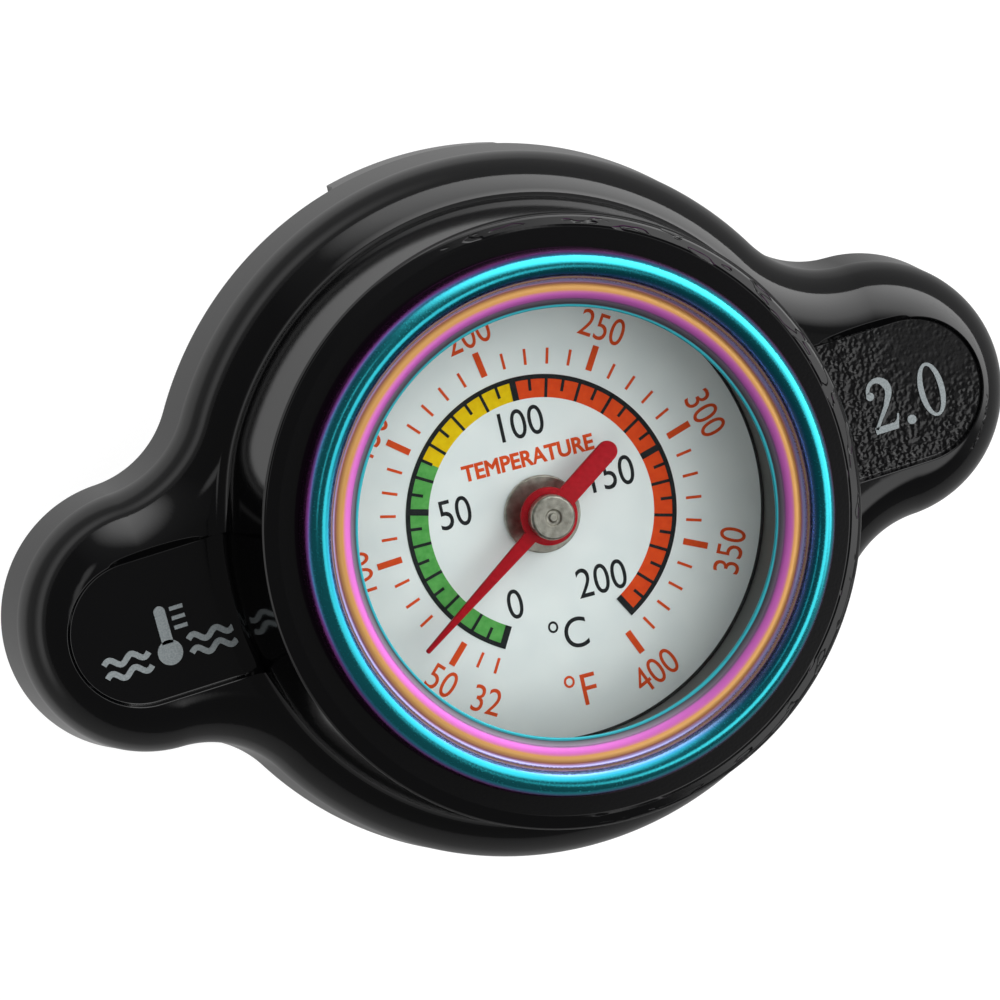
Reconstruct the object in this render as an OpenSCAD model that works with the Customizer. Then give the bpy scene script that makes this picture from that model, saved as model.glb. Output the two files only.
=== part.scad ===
// Radiator cap with a built-in dial thermometer, for a small motorcycle filler neck.
// Millimetres. +Z runs up through the dial, +X points along the right ear, and the origin lies on
// the axis in the plane where the neck gasket rests on the rim of the filler neck.

/* [Cap body] */
// Radius of the round base
base_r = 25.9; // [25.4:0.1:27]
// Height of the base from its rim to its top
base_h = 10; // [9.2:0.1:10.6]
// How far the rim of the base reaches below the neck seat
skirt_drop = 2.8; // [2.2:0.1:3.4]
// Width of the rounded shoulder, seen from above
shoulder_w = 4.4; // [3.6:0.1:4.8]
// Height of the rounded shoulder
shoulder_h = 5.5; // [4:0.1:6.2]
// How far the side wall leans in between the rim and the shoulder
wall_draft = 0.3; // [0.1:0.05:0.5]
// Chamfer along the bottom edge of the rim
rim_edge = 0.5; // [0.2:0.1:0.8]
// Radius of the bore inside the skirt, which clears the flange of the neck
skirt_bore_r = 22.2; // [21.8:0.1:22.8]

/* [Ears] */
// Distance from the axis to the tip of an ear
ear_reach = 38; // [36.5:0.1:40]
// Radius of the round end of an ear
ear_r = 9.8; // [9.2:0.1:10.4]
// Radius of the hollow curve between an ear and the base
ear_fillet_r = 7.5; // [6:0.25:9]
// How far that curve starts inside the surfaces it joins
fillet_sink = 0.04; // [0.02:0.01:0.08]
// Radius of the round end of the pocket in an ear
pocket_r = 5.2; // [4.6:0.1:5.6]
// Width of the land between the pocket and the tip of the ear
pocket_land = 3; // [2.6:0.1:4]
// Depth of the pocket
pocket_depth = 0.7; // [0.5:0.1:1.8]

/* [Bayonet claws] */
// Width of a claw
claw_w = 12.8; // [9:0.1:16]
// How far a claw hangs below the rim
claw_drop = 2.9; // [2.6:0.1:4]
// Radius of the inner edge of a claw's lip
claw_lip_r = 19.5; // [19.2:0.1:20.5]
// Thickness of a claw's lip
claw_lip_t = 1.6; // [1.2:0.1:2]
// Radius of the flare where a claw grows out of the rim
claw_flare = 1.8; // [1:0.1:2.4]
// How far the face of a claw lies inside the edge of the rim
claw_inset = 0.1; // [0.05:0.05:0.3]
// How far the root of a claw is sunk into the side wall
claw_root = 0.4; // [0.3:0.1:1]
// Turn of the claws from the middle between the ears, in degrees
claw_turn = -2.2; // [-5:0.1:5]

/* [Gauge housing] */
// Outer radius of the housing collar at its top
collar_r = 22; // [21.4:0.1:22.4]
// How much wider the collar is at its foot than at its top, on each side
collar_draft = 0.6; // [0:0.1:1]
// Radius of the rounded top edge of the collar
collar_edge = 0.7; // [0.4:0.1:1.4]
// Radius of the hollow curve at the foot of the collar
collar_flare = 1.2; // [0.6:0.1:1.8]
// How deep that curve sinks into the top of the base
flare_sink = 0.45; // [0.2:0.05:0.8]
// Thickness of the floor between the neck side and the dial
floor_t = 6.9; // [6.4:0.1:8]
// Radius of the bore that holds the dial and its spacer
cup_r = 16.9; // [16.7:0.1:17.2]

/* [Bezel and window] */
// Outer radius of the bezel
bezel_r = 19.5; // [19:0.1:20]
// Height of the bezel's crest above the collar
bezel_h = 2.5; // [2:0.1:3.2]
// Height of the upright wall under the bezel's outer bead
bezel_wall_h = 0.85; // [0.5:0.05:1.2]
// Radius of the valley between the bezel's two beads
bezel_valley_r = 17.05; // [16.8:0.05:17.3]
// Height of the inner bead above the collar
inner_bead_h = 1.2; // [1:0.05:1.9]
// Radius of the inner foot of the inner bead
inner_bead_r = 15.5; // [15.4:0.05:15.9]
// Radius of the window opening
window_r = 15.3; // [15:0.05:15.5]
// Thickness of the lip around the window
lip_t = 0.3; // [0.2:0.05:0.5]
// Height of the lip's underside above the collar
lip_lift = 0.3; // [0.1:0.05:0.6]
// Outer radius of the bezel's threaded skirt
bezel_skirt_r = 18.2; // [18:0.1:18.5]
// Wall of the bezel's skirt
bezel_skirt_wall = 1.1; // [0.8:0.05:1.2]
// Length of the bezel's skirt
bezel_skirt_h = 3.2; // [2.5:0.1:3.6]
// Thickness of the window lens
lens_t = 1.5; // [1.2:0.1:2]
// Thickness of the gasket on the lens
lens_gasket_t = 0.4; // [0.3:0.05:0.8]
// Inner radius of that gasket
lens_gasket_bore_r = 15.7; // [15.5:0.05:16]

/* [Dial and pointer] */
// Thickness of the dial plate
dial_t = 0.8; // [0.6:0.1:1.2]
// How far the dial is turned against the ears, in degrees
dial_turn = -2.7; // [-5:0.1:5]
// Angle of the zero mark on the dial, in degrees
zero_angle = 240; // [230:1:250]
// Degrees of dial for each degree Celsius
scale_step = 1.5; // [1.4:0.05:1.6]
// Temperature that the pointer rests at, in degrees Celsius
rest_temp = 17.5; // [0:0.5:40]
// Thickness of the seal between dial and spacer
dial_gasket_t = 0.3; // [0.2:0.05:0.5]
// Inner radius of that seal
dial_gasket_bore_r = 16.3; // [15.7:0.05:16.4]
// Height of the spacer ring
spacer_h = 4.8; // [4.2:0.1:6]
// Wall of the spacer ring
spacer_wall = 0.4; // [0.3:0.05:0.9]
// Radius of the bush's flange on the dial
bush_r = 2.8; // [2.4:0.1:3.4]
// Thickness of that flange
bush_t = 0.4; // [0.3:0.05:0.6]
// Radius of the bush's sleeve through the dial
bush_sleeve_r = 1.5; // [1.3:0.05:1.8]
// Height of the pointer above the dial
pointer_lift = 1.8; // [1.5:0.1:2.2]
// Thickness of the pointer
pointer_t = 0.4; // [0.3:0.05:0.6]
// Radius of the pointer's hub
pointer_hub_r = 2.2; // [1.9:0.1:2.6]
// Length of the needle from the axis
needle_len = 13.1; // [11:0.1:14]
// Width of the needle at the hub
needle_root_w = 1.5; // [1.2:0.1:2]
// Width of the needle at its tip
needle_tip_w = 0.4; // [0.3:0.05:0.8]
// Length of the pointer's tail from the axis
tail_len = 7; // [5:0.1:9]
// Width of the tail
tail_w = 1.7; // [1.3:0.1:2.2]
// Radius of the pointer's cap
cap_r = 1.6; // [1.3:0.05:1.9]
// Height of the pointer's cap
cap_h = 1.1; // [0.9:0.1:1.4]
// Chamfer on the top edge of the pointer's cap
cap_edge = 0.25; // [0.1:0.05:0.35]
// Depth of the spindle's seat in the cap
cap_bore_h = 0.55; // [0.3:0.05:0.7]
// Radius of the cap's rivet through the pointer
rivet_r = 0.95; // [0.85:0.05:1.1]
// Radius of the spindle
spindle_r = 0.5; // [0.4:0.05:0.6]

/* [Probe] */
// Outer radius of the bare probe
probe_r = 3; // [2.8:0.1:3.2]
// Outer radius of the probe's threaded stem
stem_r = 3.4; // [3.3:0.1:3.6]
// How far the stem reaches below the guide nut
stem_end = 0.4; // [0.2:0.1:0.8]
// Wall of the probe tube
probe_wall = 0.5; // [0.4:0.05:0.6]
// Length of the bare probe below its stem
probe_reach = 8; // [6:0.5:14]
// Radius of the probe's head
probe_head_r = 5.8; // [5.2:0.1:6.4]
// Thickness of the probe's head
probe_head_t = 1.2; // [0.8:0.1:1.5]
// Depth of the pocket for the head below the dial
head_pocket_depth = 2; // [1.8:0.1:2.4]
// Diameter of the O-ring's section
o_ring_d = 1.6; // [1.4:0.05:1.8]
// Height of the spindle guide
guide_h = 2; // [1.5:0.1:3]
// Height of the end plug inside the tube
plug_h = 2; // [1.6:0.1:3]
// Height of the plug's domed end
plug_dome_h = 1.4; // [0.8:0.1:2]
// Depth of the pivot hole in the plug
pivot_depth = 1.2; // [0.8:0.1:1.4]
// Mean radius of the bimetal coil
bimetal_r = 1.7; // [1.5:0.05:1.8]
// Thickness of the bimetal strip
bimetal_t = 0.3; // [0.2:0.05:0.4]
// Width of the bimetal strip
bimetal_w = 0.9; // [0.6:0.05:1]
// Turns of the bimetal coil
bimetal_turns = 9; // [6:1:9]
// Length of the bimetal coil
bimetal_h = 12; // [11:0.5:13]
// Radius of the collar on the spindle that the coil is fixed to
coil_collar_r = 2; // [1.7:0.05:2.1]
// Thickness of that collar
coil_collar_t = 0.8; // [0.5:0.1:1.2]

/* [Neck seal] */
// Thickness of the neck gasket
gasket_t = 1.6; // [1.2:0.1:2.2]
// Inner radius of the neck gasket
gasket_bore_r = 14.3; // [13.8:0.1:15]
// Outer radius of the neck gasket
gasket_r = 18.8; // [18:0.1:19]
// Thickness of the spring disc
disc_t = 0.4; // [0.3:0.05:0.6]
// Outer radius of the spring disc
disc_r = 20.6; // [19.5:0.1:21.4]
// Thickness of the spring cup
cup_t = 0.6; // [0.5:0.05:0.8]
// Outer radius of the spring cup
spring_cup_r = 11.7; // [11.4:0.1:12.4]
// Depth of the spring cup
spring_cup_h = 2.4; // [1.6:0.1:3.2]
// Width of the guide nut across its flats
nut_flats = 13; // [12:0.1:14]
// Height of the guide nut's hexagon
nut_h = 4; // [3:0.1:5]
// Outer radius of the guide nut's shank
shank_r = 4.4; // [4.2:0.1:4.7]
// Length of the shank below its clip
shank_end = 0.8; // [0.5:0.1:1.4]

/* [Pressure valve] */
// Depth of the lower seat below the rim of the neck
seat_depth = 15; // [14:0.1:17]
// Thickness of the pressure seal
seal_t = 3; // [2.4:0.1:3.4]
// Outer radius of the pressure seal
seal_r = 14.2; // [13.6:0.1:14.2]
// Inner radius of the pressure seal
seal_bore_r = 9.5; // [9.3:0.1:9.9]
// Thickness of the pressure plate
plate_t = 0.8; // [0.6:0.05:1]
// Outer radius of the pressure plate
plate_r = 12.9; // [12.4:0.1:13.4]
// Height of the pressure plate's upturned rim
plate_rim_h = 1.4; // [1:0.1:2]
// Wall of the hub that slides on the shank
hub_wall = 0.75; // [0.7:0.05:0.9]
// Height of the hub above the plate
hub_top = 0.8; // [0.4:0.1:1.2]
// Radius of a vent hole in the plate
vent_r = 0.7; // [0.5:0.05:0.8]
// Radius of the circle of vent holes
vent_ring_r = 6.8; // [6.6:0.05:7]
// Number of vent holes
vent_count = 6; // [4:1:8]
// Wall of the seal retainer
retainer_wall = 0.4; // [0.3:0.05:0.5]
// How far the retainer's flange reaches under the seal
retainer_lap = 1.6; // [1:0.1:2]
// Wire diameter of the pressure spring
spring_wire = 1.4; // [1.2:0.1:1.5]
// Mean radius of the pressure spring
spring_r = 9.8; // [9.6:0.1:10]
// Turns of the pressure spring
spring_turns = 4.5; // [3.5:0.5:4.5]
// Thickness of the clip below the hub
clip_t = 0.6; // [0.5:0.05:0.8]
// How far that clip stands out from the shank
clip_stand = 0.7; // [0.4:0.05:0.75]
// Depth of the clip grooves
groove_depth = 0.3; // [0.2:0.05:0.4]

/* [Vacuum valve] */
// Thickness of the vacuum seal
vacuum_seal_t = 0.6; // [0.4:0.05:0.9]
// Outer radius of the vacuum valve
vacuum_r = 8.5; // [8.2:0.05:8.6]
// Thickness of the vacuum disc
vacuum_disc_t = 0.7; // [0.5:0.05:1]
// Wire diameter of the vacuum spring
vacuum_wire = 0.5; // [0.4:0.05:0.5]
// Mean radius of the vacuum spring
vacuum_spring_r = 6.4; // [6.3:0.05:6.6]
// Turns of the vacuum spring
vacuum_turns = 3; // [2:0.5:3]
// Height of the vacuum spring
vacuum_spring_h = 3.3; // [3:0.1:4]
// Outer radius of the clip under the vacuum spring
vacuum_clip_r = 7.2; // [7:0.05:7.6]
// Length of the hub below that clip
hub_end = 0.4; // [0.3:0.1:0.8]

/* [Fits] */
// Radial clearance of a piece that turns or slides
running_gap = 0.05; // [0.03:0.01:0.08]
// Clearance of a piece that is laid or screwed into its seat
seat_gap = 0.05; // [0.03:0.01:0.1]
// Clearance at the end of a spring or coil
end_gap = 0.05; // [0.03:0.01:0.2]

/* [Hidden] */
$fn = 96;
// Steps along an arc and around one turn of a coil, and sides of a wire's section
arc_steps = 10;
coil_steps = 24;
wire_sides = 8;
// Share of the way to the hollow curve at which an ear's neck ends, inside what it joins
neck_share = 0.15;
// Angles at which the bezel's outer bead ends and its inner bead starts
outer_bead_end = 165;
inner_bead_start = 40;
// How far a cut runs past what it cuts
over = 1;

// Heights of the housing, from the neck seat up to the window
rim_z = -skirt_drop;
base_top = rim_z + base_h;
ceiling_z = gasket_t + disc_t;
dial_seat = ceiling_z + floor_t;
dial_face = dial_seat + dial_t;
spacer_z = dial_face + dial_gasket_t;
lens_z = spacer_z + spacer_h;
lens_top = lens_z + lens_t;
lip_z = lens_top + lens_gasket_t;
collar_top = lip_z - lip_lift;
bezel_skirt_z = collar_top - bezel_skirt_h;
bezel_bore_r = bezel_skirt_r - bezel_skirt_wall;
lens_r = bezel_bore_r - seat_gap;
pocket_floor = base_top - pocket_depth;
claw_z = rim_z - claw_drop;

// Plan of the ears: each ear's end circle, and the centre of the hollow curve that joins it to the base
ear_x = ear_reach - ear_r;
fillet_x = (pow(base_r + ear_fillet_r, 2) - pow(ear_r + ear_fillet_r, 2) + ear_x * ear_x) / (2 * ear_x);
fillet_y = sqrt(pow(base_r + ear_fillet_r, 2) - fillet_x * fillet_x);
pocket_x = ear_reach - pocket_land - pocket_r;
pocket_bore_r = collar_r + collar_draft + collar_flare;

// Heights of the dial's movement
bush_top = dial_face + bush_t;
pointer_z = dial_face + pointer_lift;
pointer_top = pointer_z + pointer_t;
cap_top = pointer_top + cap_h;
head_z = dial_seat - head_pocket_depth;
head_top = head_z + probe_head_t;
bush_sleeve_z = (head_top + dial_seat) / 2;
guide_top = head_z;
o_ring_z = ceiling_z + (head_z - ceiling_z) / 2;
pointer_angle = zero_angle - scale_step * rest_temp + dial_turn;
probe_bore_r = probe_r - probe_wall;
probe_hole_r = stem_r + seat_gap;
bush_bore_r = spindle_r + running_gap;

// Heights of the valve, from the spring cup down to the tip of the probe
cup_under = ceiling_z - disc_t - cup_t;
plate_z = -seat_depth + seal_t;
plate_top = plate_z + plate_t;
hub_bore_r = shank_r + running_gap;
hub_r = hub_bore_r + hub_wall;
vacuum_seal_z = plate_z - vacuum_seal_t;
vacuum_disc_z = vacuum_seal_z - vacuum_disc_t;
vacuum_clip_top = vacuum_disc_z - vacuum_spring_h;
vacuum_clip_z = vacuum_clip_top - clip_t;
hub_z = vacuum_clip_z - hub_end;
shank_clip_z = hub_z - clip_t;
shank_z = shank_clip_z - shank_end;
stem_z = shank_z - stem_end;
probe_z = stem_z - probe_reach;
plug_top = probe_z + plug_h;
coil_z = plug_top + end_gap;
coil_top = coil_z + bimetal_h;
spindle_foot = plug_top - pivot_depth + end_gap;
retainer_r = seal_bore_r - seat_gap;
retainer_flange_r = seal_bore_r + retainer_lap;

// Points along an arc of an ellipse, from angle a0 to angle a1
function arc(cx, cy, rx, ry, a0, a1) =
    [for (i = [0 : arc_steps]) let (a = a0 + (a1 - a0) * i / arc_steps)
        [cx + rx * cos(a), cy + ry * sin(a)]];

// Edge of the base and ears from the rim to the top: distance in from the outline, and height
function edge() = concat(
    [[rim_edge, rim_z], [0, rim_z + rim_edge]],
    arc(wall_draft + shoulder_w, base_top - shoulder_h, -shoulder_w, shoulder_h, 0, 90));

module ring(outer_r, inner_r, z, h) {
    translate([0, 0, z]) difference() {
        cylinder(r = outer_r, h = h);
        translate([0, 0, -over]) cylinder(r = inner_r, h = h + 2 * over);
    }
}

// A coil swept along a helix: each end has half a turn that lies nearly flat
module coil(section, mean_r, z0, z1, turns, rise) {
    steps = round(turns * coil_steps);
    sides = len(section);
    function height(t) = let (flat = rise / 2)
        t < 0.5 ? z0 + rise * t :
        t > turns - 0.5 ? z1 - rise * (turns - t) :
        z0 + flat + (z1 - z0 - 2 * flat) * (t - 0.5) / (turns - 1);
    points = [for (i = [0 : steps]) let (t = turns * i / steps, a = 360 * t) for (p = section)
        [(mean_r + p[0]) * cos(a), (mean_r + p[0]) * sin(a), height(t) + p[1]]];
    wall = [for (i = [0 : steps - 1], j = [0 : sides - 1]) let (k = (j + 1) % sides)
        [i * sides + j, (i + 1) * sides + j, (i + 1) * sides + k, i * sides + k]];
    first = [[for (j = [0 : sides - 1]) j]];
    last = [[for (j = [sides - 1 : -1 : 0]) steps * sides + j]];
    polyhedron(points, concat(wall, first, last));
}

function round_section(r) =
    [for (j = [0 : wire_sides - 1]) let (a = 360 * j / wire_sides) [r * cos(a), r * sin(a)]];

function strip_section(t, w) = [[t / 2, -w / 2], [t / 2, w / 2], [-t / 2, w / 2], [-t / 2, -w / 2]];

// The base, or the end of an ear: the rounded outline turned about its own centre
module lobe(r) {
    rotate_extrude()
        polygon(concat([[0, rim_z]], [for (p = edge()) [r - p[0], p[1]]], [[0, base_top]]));
}

// What the hollow curve beside an ear leaves free
module hollow() {
    inner_r = ear_fillet_r + fillet_sink;
    rotate_extrude() polygon(concat(
        [[0, rim_z - over], [inner_r + rim_edge, rim_z - over]],
        [for (p = edge()) [inner_r + p[0], p[1]]],
        [[inner_r + wall_draft + shoulder_w, base_top + over], [0, base_top + over]]));
}

// The neck of an ear: a block from inside the base to inside the round end, hollowed on both sides
module ear_neck() {
    root = [neck_share * fillet_x, neck_share * fillet_y];
    tip = [ear_x + neck_share * (fillet_x - ear_x), neck_share * fillet_y];
    difference() {
        translate([0, 0, rim_z]) linear_extrude(base_h)
            polygon([[root[0], -root[1]], [fillet_x, -fillet_y], [tip[0], -tip[1]],
                     tip, [fillet_x, fillet_y], root]);
        for (side = [-1, 1]) translate([fillet_x, side * fillet_y, 0]) hollow();
    }
}

module outline() {
    lobe(base_r);
    for (turn = [0, 180]) rotate([0, 0, turn]) {
        ear_neck();
        translate([ear_x, 0, 0]) lobe(ear_r);
    }
}

// The upright part of the housing: wider below, with a hollow curve at its foot and a rounded top edge
module collar() {
    foot_r = pocket_bore_r;
    foot_z = base_top - flare_sink;
    rotate_extrude() polygon(concat(
        [[0, pocket_floor - over], [foot_r, pocket_floor - over]],
        arc(foot_r, foot_z + collar_flare, collar_flare, collar_flare, 270, 180),
        arc(collar_r - collar_edge, collar_top - collar_edge, collar_edge, collar_edge, 0, 90),
        [[0, collar_top]]));
}

// A slot with a round outer end, from the axis out to the centre of that end
module slot(r, end_x, z, h) {
    translate([end_x, 0, z]) cylinder(r = r, h = h);
    translate([0, -r, z]) cube([end_x, 2 * r, h]);
}

module pocket() {
    difference() {
        slot(pocket_r, pocket_x, pocket_floor, pocket_depth + over);
        translate([0, 0, pocket_floor - over]) cylinder(r = pocket_bore_r, h = pocket_depth + 3 * over);
    }
}

// Both claws: a length of the skirt's wall that hangs down, with a lip turned in at its foot
module claws() {
    half = claw_w / 2;
    claw_r = base_r - claw_inset;
    flare_z = rim_z + rim_edge + claw_root;
    side = concat(
        [[half, claw_z], [half, flare_z - claw_flare]],
        arc(half + claw_flare, flare_z - claw_flare, claw_flare, claw_flare, 180, 90));
    face = concat(side, [for (i = [len(side) - 1 : -1 : 0]) [-side[i][0], side[i][1]]]);
    intersection() {
        union() {
            ring(claw_r, skirt_bore_r, claw_z, flare_z - claw_z);
            ring(claw_r, claw_lip_r, claw_z, claw_lip_t);
        }
        rotate([90, 0, claw_turn]) linear_extrude(2 * base_r + over, center = true) polygon(face);
    }
}

module cap_body() {
    color("black") difference() {
        union() {
            difference() {
                outline();
                translate([0, 0, rim_z - over]) cylinder(r = skirt_bore_r, h = ceiling_z - rim_z + over);
            }
            collar();
            claws();
        }
        for (turn = [0, 180]) rotate([0, 0, turn]) pocket();
        translate([0, 0, dial_seat]) cylinder(r = cup_r, h = collar_top - dial_seat + over);
        translate([0, 0, bezel_skirt_z - seat_gap])
            cylinder(r = bezel_skirt_r + seat_gap, h = bezel_skirt_h + seat_gap + over);
        translate([0, 0, head_z]) cylinder(r = probe_head_r + seat_gap, h = head_pocket_depth + over);
        translate([0, 0, ceiling_z - over]) cylinder(r = probe_hole_r, h = head_z - ceiling_z + 2 * over);
        translate([0, 0, o_ring_z - o_ring_d / 2 - seat_gap])
            cylinder(r = stem_r + o_ring_d + 2 * seat_gap, h = o_ring_d + 2 * seat_gap);
    }
}

// Two turned beads above a threaded skirt, with a thin lip around the window
module bezel_ring() {
    bead_r = (bezel_r - bezel_valley_r) / 2;
    bead_foot = collar_top + bezel_wall_h;
    inner_r = (bezel_valley_r - inner_bead_r) / 2;
    inner_foot = lip_z + lip_t;
    color("teal") rotate_extrude() polygon(concat(
        [[bezel_bore_r, bezel_skirt_z], [bezel_skirt_r, bezel_skirt_z],
         [bezel_skirt_r, collar_top], [bezel_r, collar_top]],
        arc(bezel_r - bead_r, bead_foot, bead_r, bezel_h - bezel_wall_h, 0, outer_bead_end),
        arc(inner_bead_r + inner_r, inner_foot, inner_r, collar_top + inner_bead_h - inner_foot,
            inner_bead_start, 180),
        [[window_r, inner_foot], [window_r, lip_z], [bezel_bore_r, lip_z]]));
}

module lens_gasket() {
    color("dimgray") ring(lens_r, lens_gasket_bore_r, lens_top, lens_gasket_t);
}

module window_lens() {
    color("lightcyan", 0.4) translate([0, 0, lens_z]) cylinder(r = lens_r, h = lens_t);
}

module dial_spacer() {
    spacer_r = cup_r - seat_gap;
    color("gray") ring(spacer_r, spacer_r - spacer_wall, spacer_z, spacer_h);
}

module dial_gasket() {
    color("black") ring(cup_r - seat_gap, dial_gasket_bore_r, dial_face, dial_gasket_t);
}

module dial_plate() {
    color("white") ring(cup_r - seat_gap, bush_sleeve_r + seat_gap, dial_seat, dial_t);
}

module dial_bush() {
    color("silver") difference() {
        union() {
            translate([0, 0, dial_face]) cylinder(r = bush_r, h = bush_t);
            translate([0, 0, bush_sleeve_z]) cylinder(r = bush_sleeve_r, h = bush_top - bush_sleeve_z);
        }
        translate([0, 0, bush_sleeve_z - over])
            cylinder(r = bush_bore_r, h = bush_top - bush_sleeve_z + 2 * over);
    }
}

// A pressed needle with a round hub and a straight tail that ends in half a circle
module pointer() {
    color("crimson") translate([0, 0, pointer_z]) rotate([0, 0, pointer_angle]) linear_extrude(pointer_t)
        difference() {
            union() {
                circle(r = pointer_hub_r);
                polygon([[0, -needle_root_w / 2], [needle_len, -needle_tip_w / 2],
                         [needle_len, needle_tip_w / 2], [0, needle_root_w / 2]]);
                translate([tail_w / 2 - tail_len, -tail_w / 2]) square([tail_len - tail_w / 2, tail_w]);
                translate([tail_w / 2 - tail_len, 0]) circle(r = tail_w / 2);
            }
            circle(r = rivet_r + seat_gap);
        }
}

// A turned rivet that clamps the pointer to the spindle's shoulder
module pointer_cap() {
    color("silver") difference() {
        rotate_extrude() polygon([
            [0, pointer_z], [rivet_r, pointer_z], [rivet_r, pointer_top], [cap_r, pointer_top],
            [cap_r, cap_top - cap_edge], [cap_r - cap_edge, cap_top], [0, cap_top]]);
        translate([0, 0, pointer_z - over])
            cylinder(r = spindle_r + seat_gap, h = pointer_t + cap_bore_h + over);
    }
}

// A thin shaft with a shoulder under the pointer and a collar where the bimetal coil is fixed
module spindle() {
    color("silver") union() {
        translate([0, 0, spindle_foot])
            cylinder(r = spindle_r, h = pointer_top + cap_bore_h - end_gap - spindle_foot);
        translate([0, 0, (pointer_z + bush_top) / 2]) cylinder(r = rivet_r, h = (pointer_z - bush_top) / 2);
        translate([0, 0, coil_top + end_gap]) cylinder(r = coil_collar_r, h = coil_collar_t);
    }
}

module spindle_guide() {
    color("goldenrod") ring(probe_bore_r - seat_gap, bush_bore_r, guide_top - guide_h, guide_h);
}

module bimetal_coil() {
    color("peru") coil(strip_section(bimetal_t, bimetal_w), bimetal_r,
        coil_z + bimetal_w / 2, coil_top - bimetal_w / 2, bimetal_turns, bimetal_w + end_gap);
}

module probe_tube() {
    color("silver") difference() {
        union() {
            translate([0, 0, probe_z]) cylinder(r = probe_r, h = head_top - probe_z);
            translate([0, 0, stem_z]) cylinder(r = stem_r, h = head_top - stem_z);
            translate([0, 0, head_z]) cylinder(r = probe_head_r, h = probe_head_t);
        }
        translate([0, 0, probe_z - over]) cylinder(r = probe_bore_r, h = head_top - probe_z + 2 * over);
    }
}

// The welded end of the probe, domed outside and drilled inside for the foot of the spindle
module probe_plug() {
    plug_r = probe_bore_r - seat_gap;
    color("silver") difference() {
        rotate_extrude() polygon(concat(
            arc(0, probe_z, probe_r, plug_dome_h, 270, 360),
            [[plug_r, probe_z], [plug_r, plug_top], [0, plug_top]]));
        translate([0, 0, plug_top - pivot_depth]) cylinder(r = bush_bore_r, h = pivot_depth + over);
    }
}

module probe_o_ring() {
    color("black") translate([0, 0, o_ring_z]) rotate_extrude()
        translate([stem_r + seat_gap + o_ring_d / 2, 0]) circle(d = o_ring_d);
}

module spring_disc() {
    color("lightsteelblue") ring(disc_r, probe_hole_r, gasket_t, disc_t);
}

module neck_gasket() {
    color("black") ring(gasket_r, gasket_bore_r, 0, gasket_t);
}

// A pressed cup that holds the top of the pressure spring in place
module spring_cup() {
    color("lightsteelblue") union() {
        ring(spring_cup_r, probe_hole_r, cup_under, cup_t);
        ring(spring_cup_r, spring_cup_r - cup_t, cup_under + cup_t - spring_cup_h, spring_cup_h);
    }
}

// A hexagon nut on the probe's thread, with a long shank that guides the pressure plate
module guide_nut() {
    color("goldenrod") difference() {
        union() {
            translate([0, 0, cup_under - nut_h]) cylinder(d = nut_flats / cos(30), h = nut_h, $fn = 6);
            translate([0, 0, shank_z]) cylinder(r = shank_r, h = cup_under - shank_z);
        }
        translate([0, 0, shank_z - over]) cylinder(r = probe_hole_r, h = cup_under - shank_z + 2 * over);
        ring(shank_r + over, shank_r - groove_depth, shank_clip_z, clip_t);
    }
}

module pressure_spring() {
    wire = spring_wire / 2;
    color("gainsboro") coil(round_section(wire), spring_r, plate_top + end_gap + wire,
        cup_under - end_gap - wire, spring_turns, spring_wire + end_gap);
}

// A pressed plate on a long hub, with vents that the vacuum valve closes from below
module pressure_plate() {
    color("goldenrod") difference() {
        union() {
            translate([0, 0, plate_z]) cylinder(r = plate_r, h = plate_t);
            ring(plate_r, plate_r - plate_t, plate_z, plate_t + plate_rim_h);
            translate([0, 0, hub_z]) cylinder(r = hub_r, h = plate_top + hub_top - hub_z);
        }
        translate([0, 0, hub_z - over])
            cylinder(r = hub_bore_r, h = plate_top + hub_top - hub_z + 2 * over);
        ring(hub_r + over, hub_r - groove_depth, vacuum_clip_z, clip_t);
        for (i = [1 : vent_count]) rotate([0, 0, 360 * i / vent_count])
            translate([vent_ring_r, 0, plate_z - over]) cylinder(r = vent_r, h = plate_t + 2 * over);
    }
}

// A thick rubber ring with a step along its lower inner edge for the retainer's flange
module pressure_seal() {
    color("black") difference() {
        ring(seal_r, seal_bore_r, -seat_depth, seal_t);
        translate([0, 0, -seat_depth - over])
            cylinder(r = retainer_flange_r + seat_gap, h = retainer_wall + seat_gap + over);
    }
}

// A pressed ring that holds the seal to the plate by its inner edge
module seal_retainer() {
    bore_r = retainer_r - retainer_wall;
    color("lightsteelblue") union() {
        ring(retainer_r, bore_r, -seat_depth, seal_t);
        ring(retainer_flange_r, bore_r, -seat_depth, retainer_wall);
    }
}

module shank_clip() {
    color("gray") ring(shank_r + clip_stand, shank_r - groove_depth, shank_clip_z, clip_t);
}

module vacuum_disc() {
    color("goldenrod") ring(vacuum_r, hub_r + running_gap, vacuum_disc_z, vacuum_disc_t);
}

module vacuum_seal() {
    color("black") ring(vacuum_r, hub_r + running_gap, vacuum_seal_z, vacuum_seal_t);
}

module vacuum_spring() {
    wire = vacuum_wire / 2;
    color("gainsboro") coil(round_section(wire), vacuum_spring_r, vacuum_clip_top + end_gap + wire,
        vacuum_disc_z - end_gap - wire, vacuum_turns, vacuum_wire + end_gap);
}

module vacuum_clip() {
    color("gray") ring(vacuum_clip_r, hub_r - groove_depth, vacuum_clip_z, clip_t);
}

cap_body();
bezel_ring();
lens_gasket();
window_lens();
dial_spacer();
dial_gasket();
dial_plate();
dial_bush();
pointer();
pointer_cap();
spindle();
spindle_guide();
bimetal_coil();
probe_tube();
probe_plug();
probe_o_ring();
spring_disc();
neck_gasket();
spring_cup();
guide_nut();
pressure_spring();
pressure_plate();
pressure_seal();
seal_retainer();
shank_clip();
vacuum_disc();
vacuum_seal();
vacuum_spring();
vacuum_clip();
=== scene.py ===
import math
from functools import partial

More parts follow.
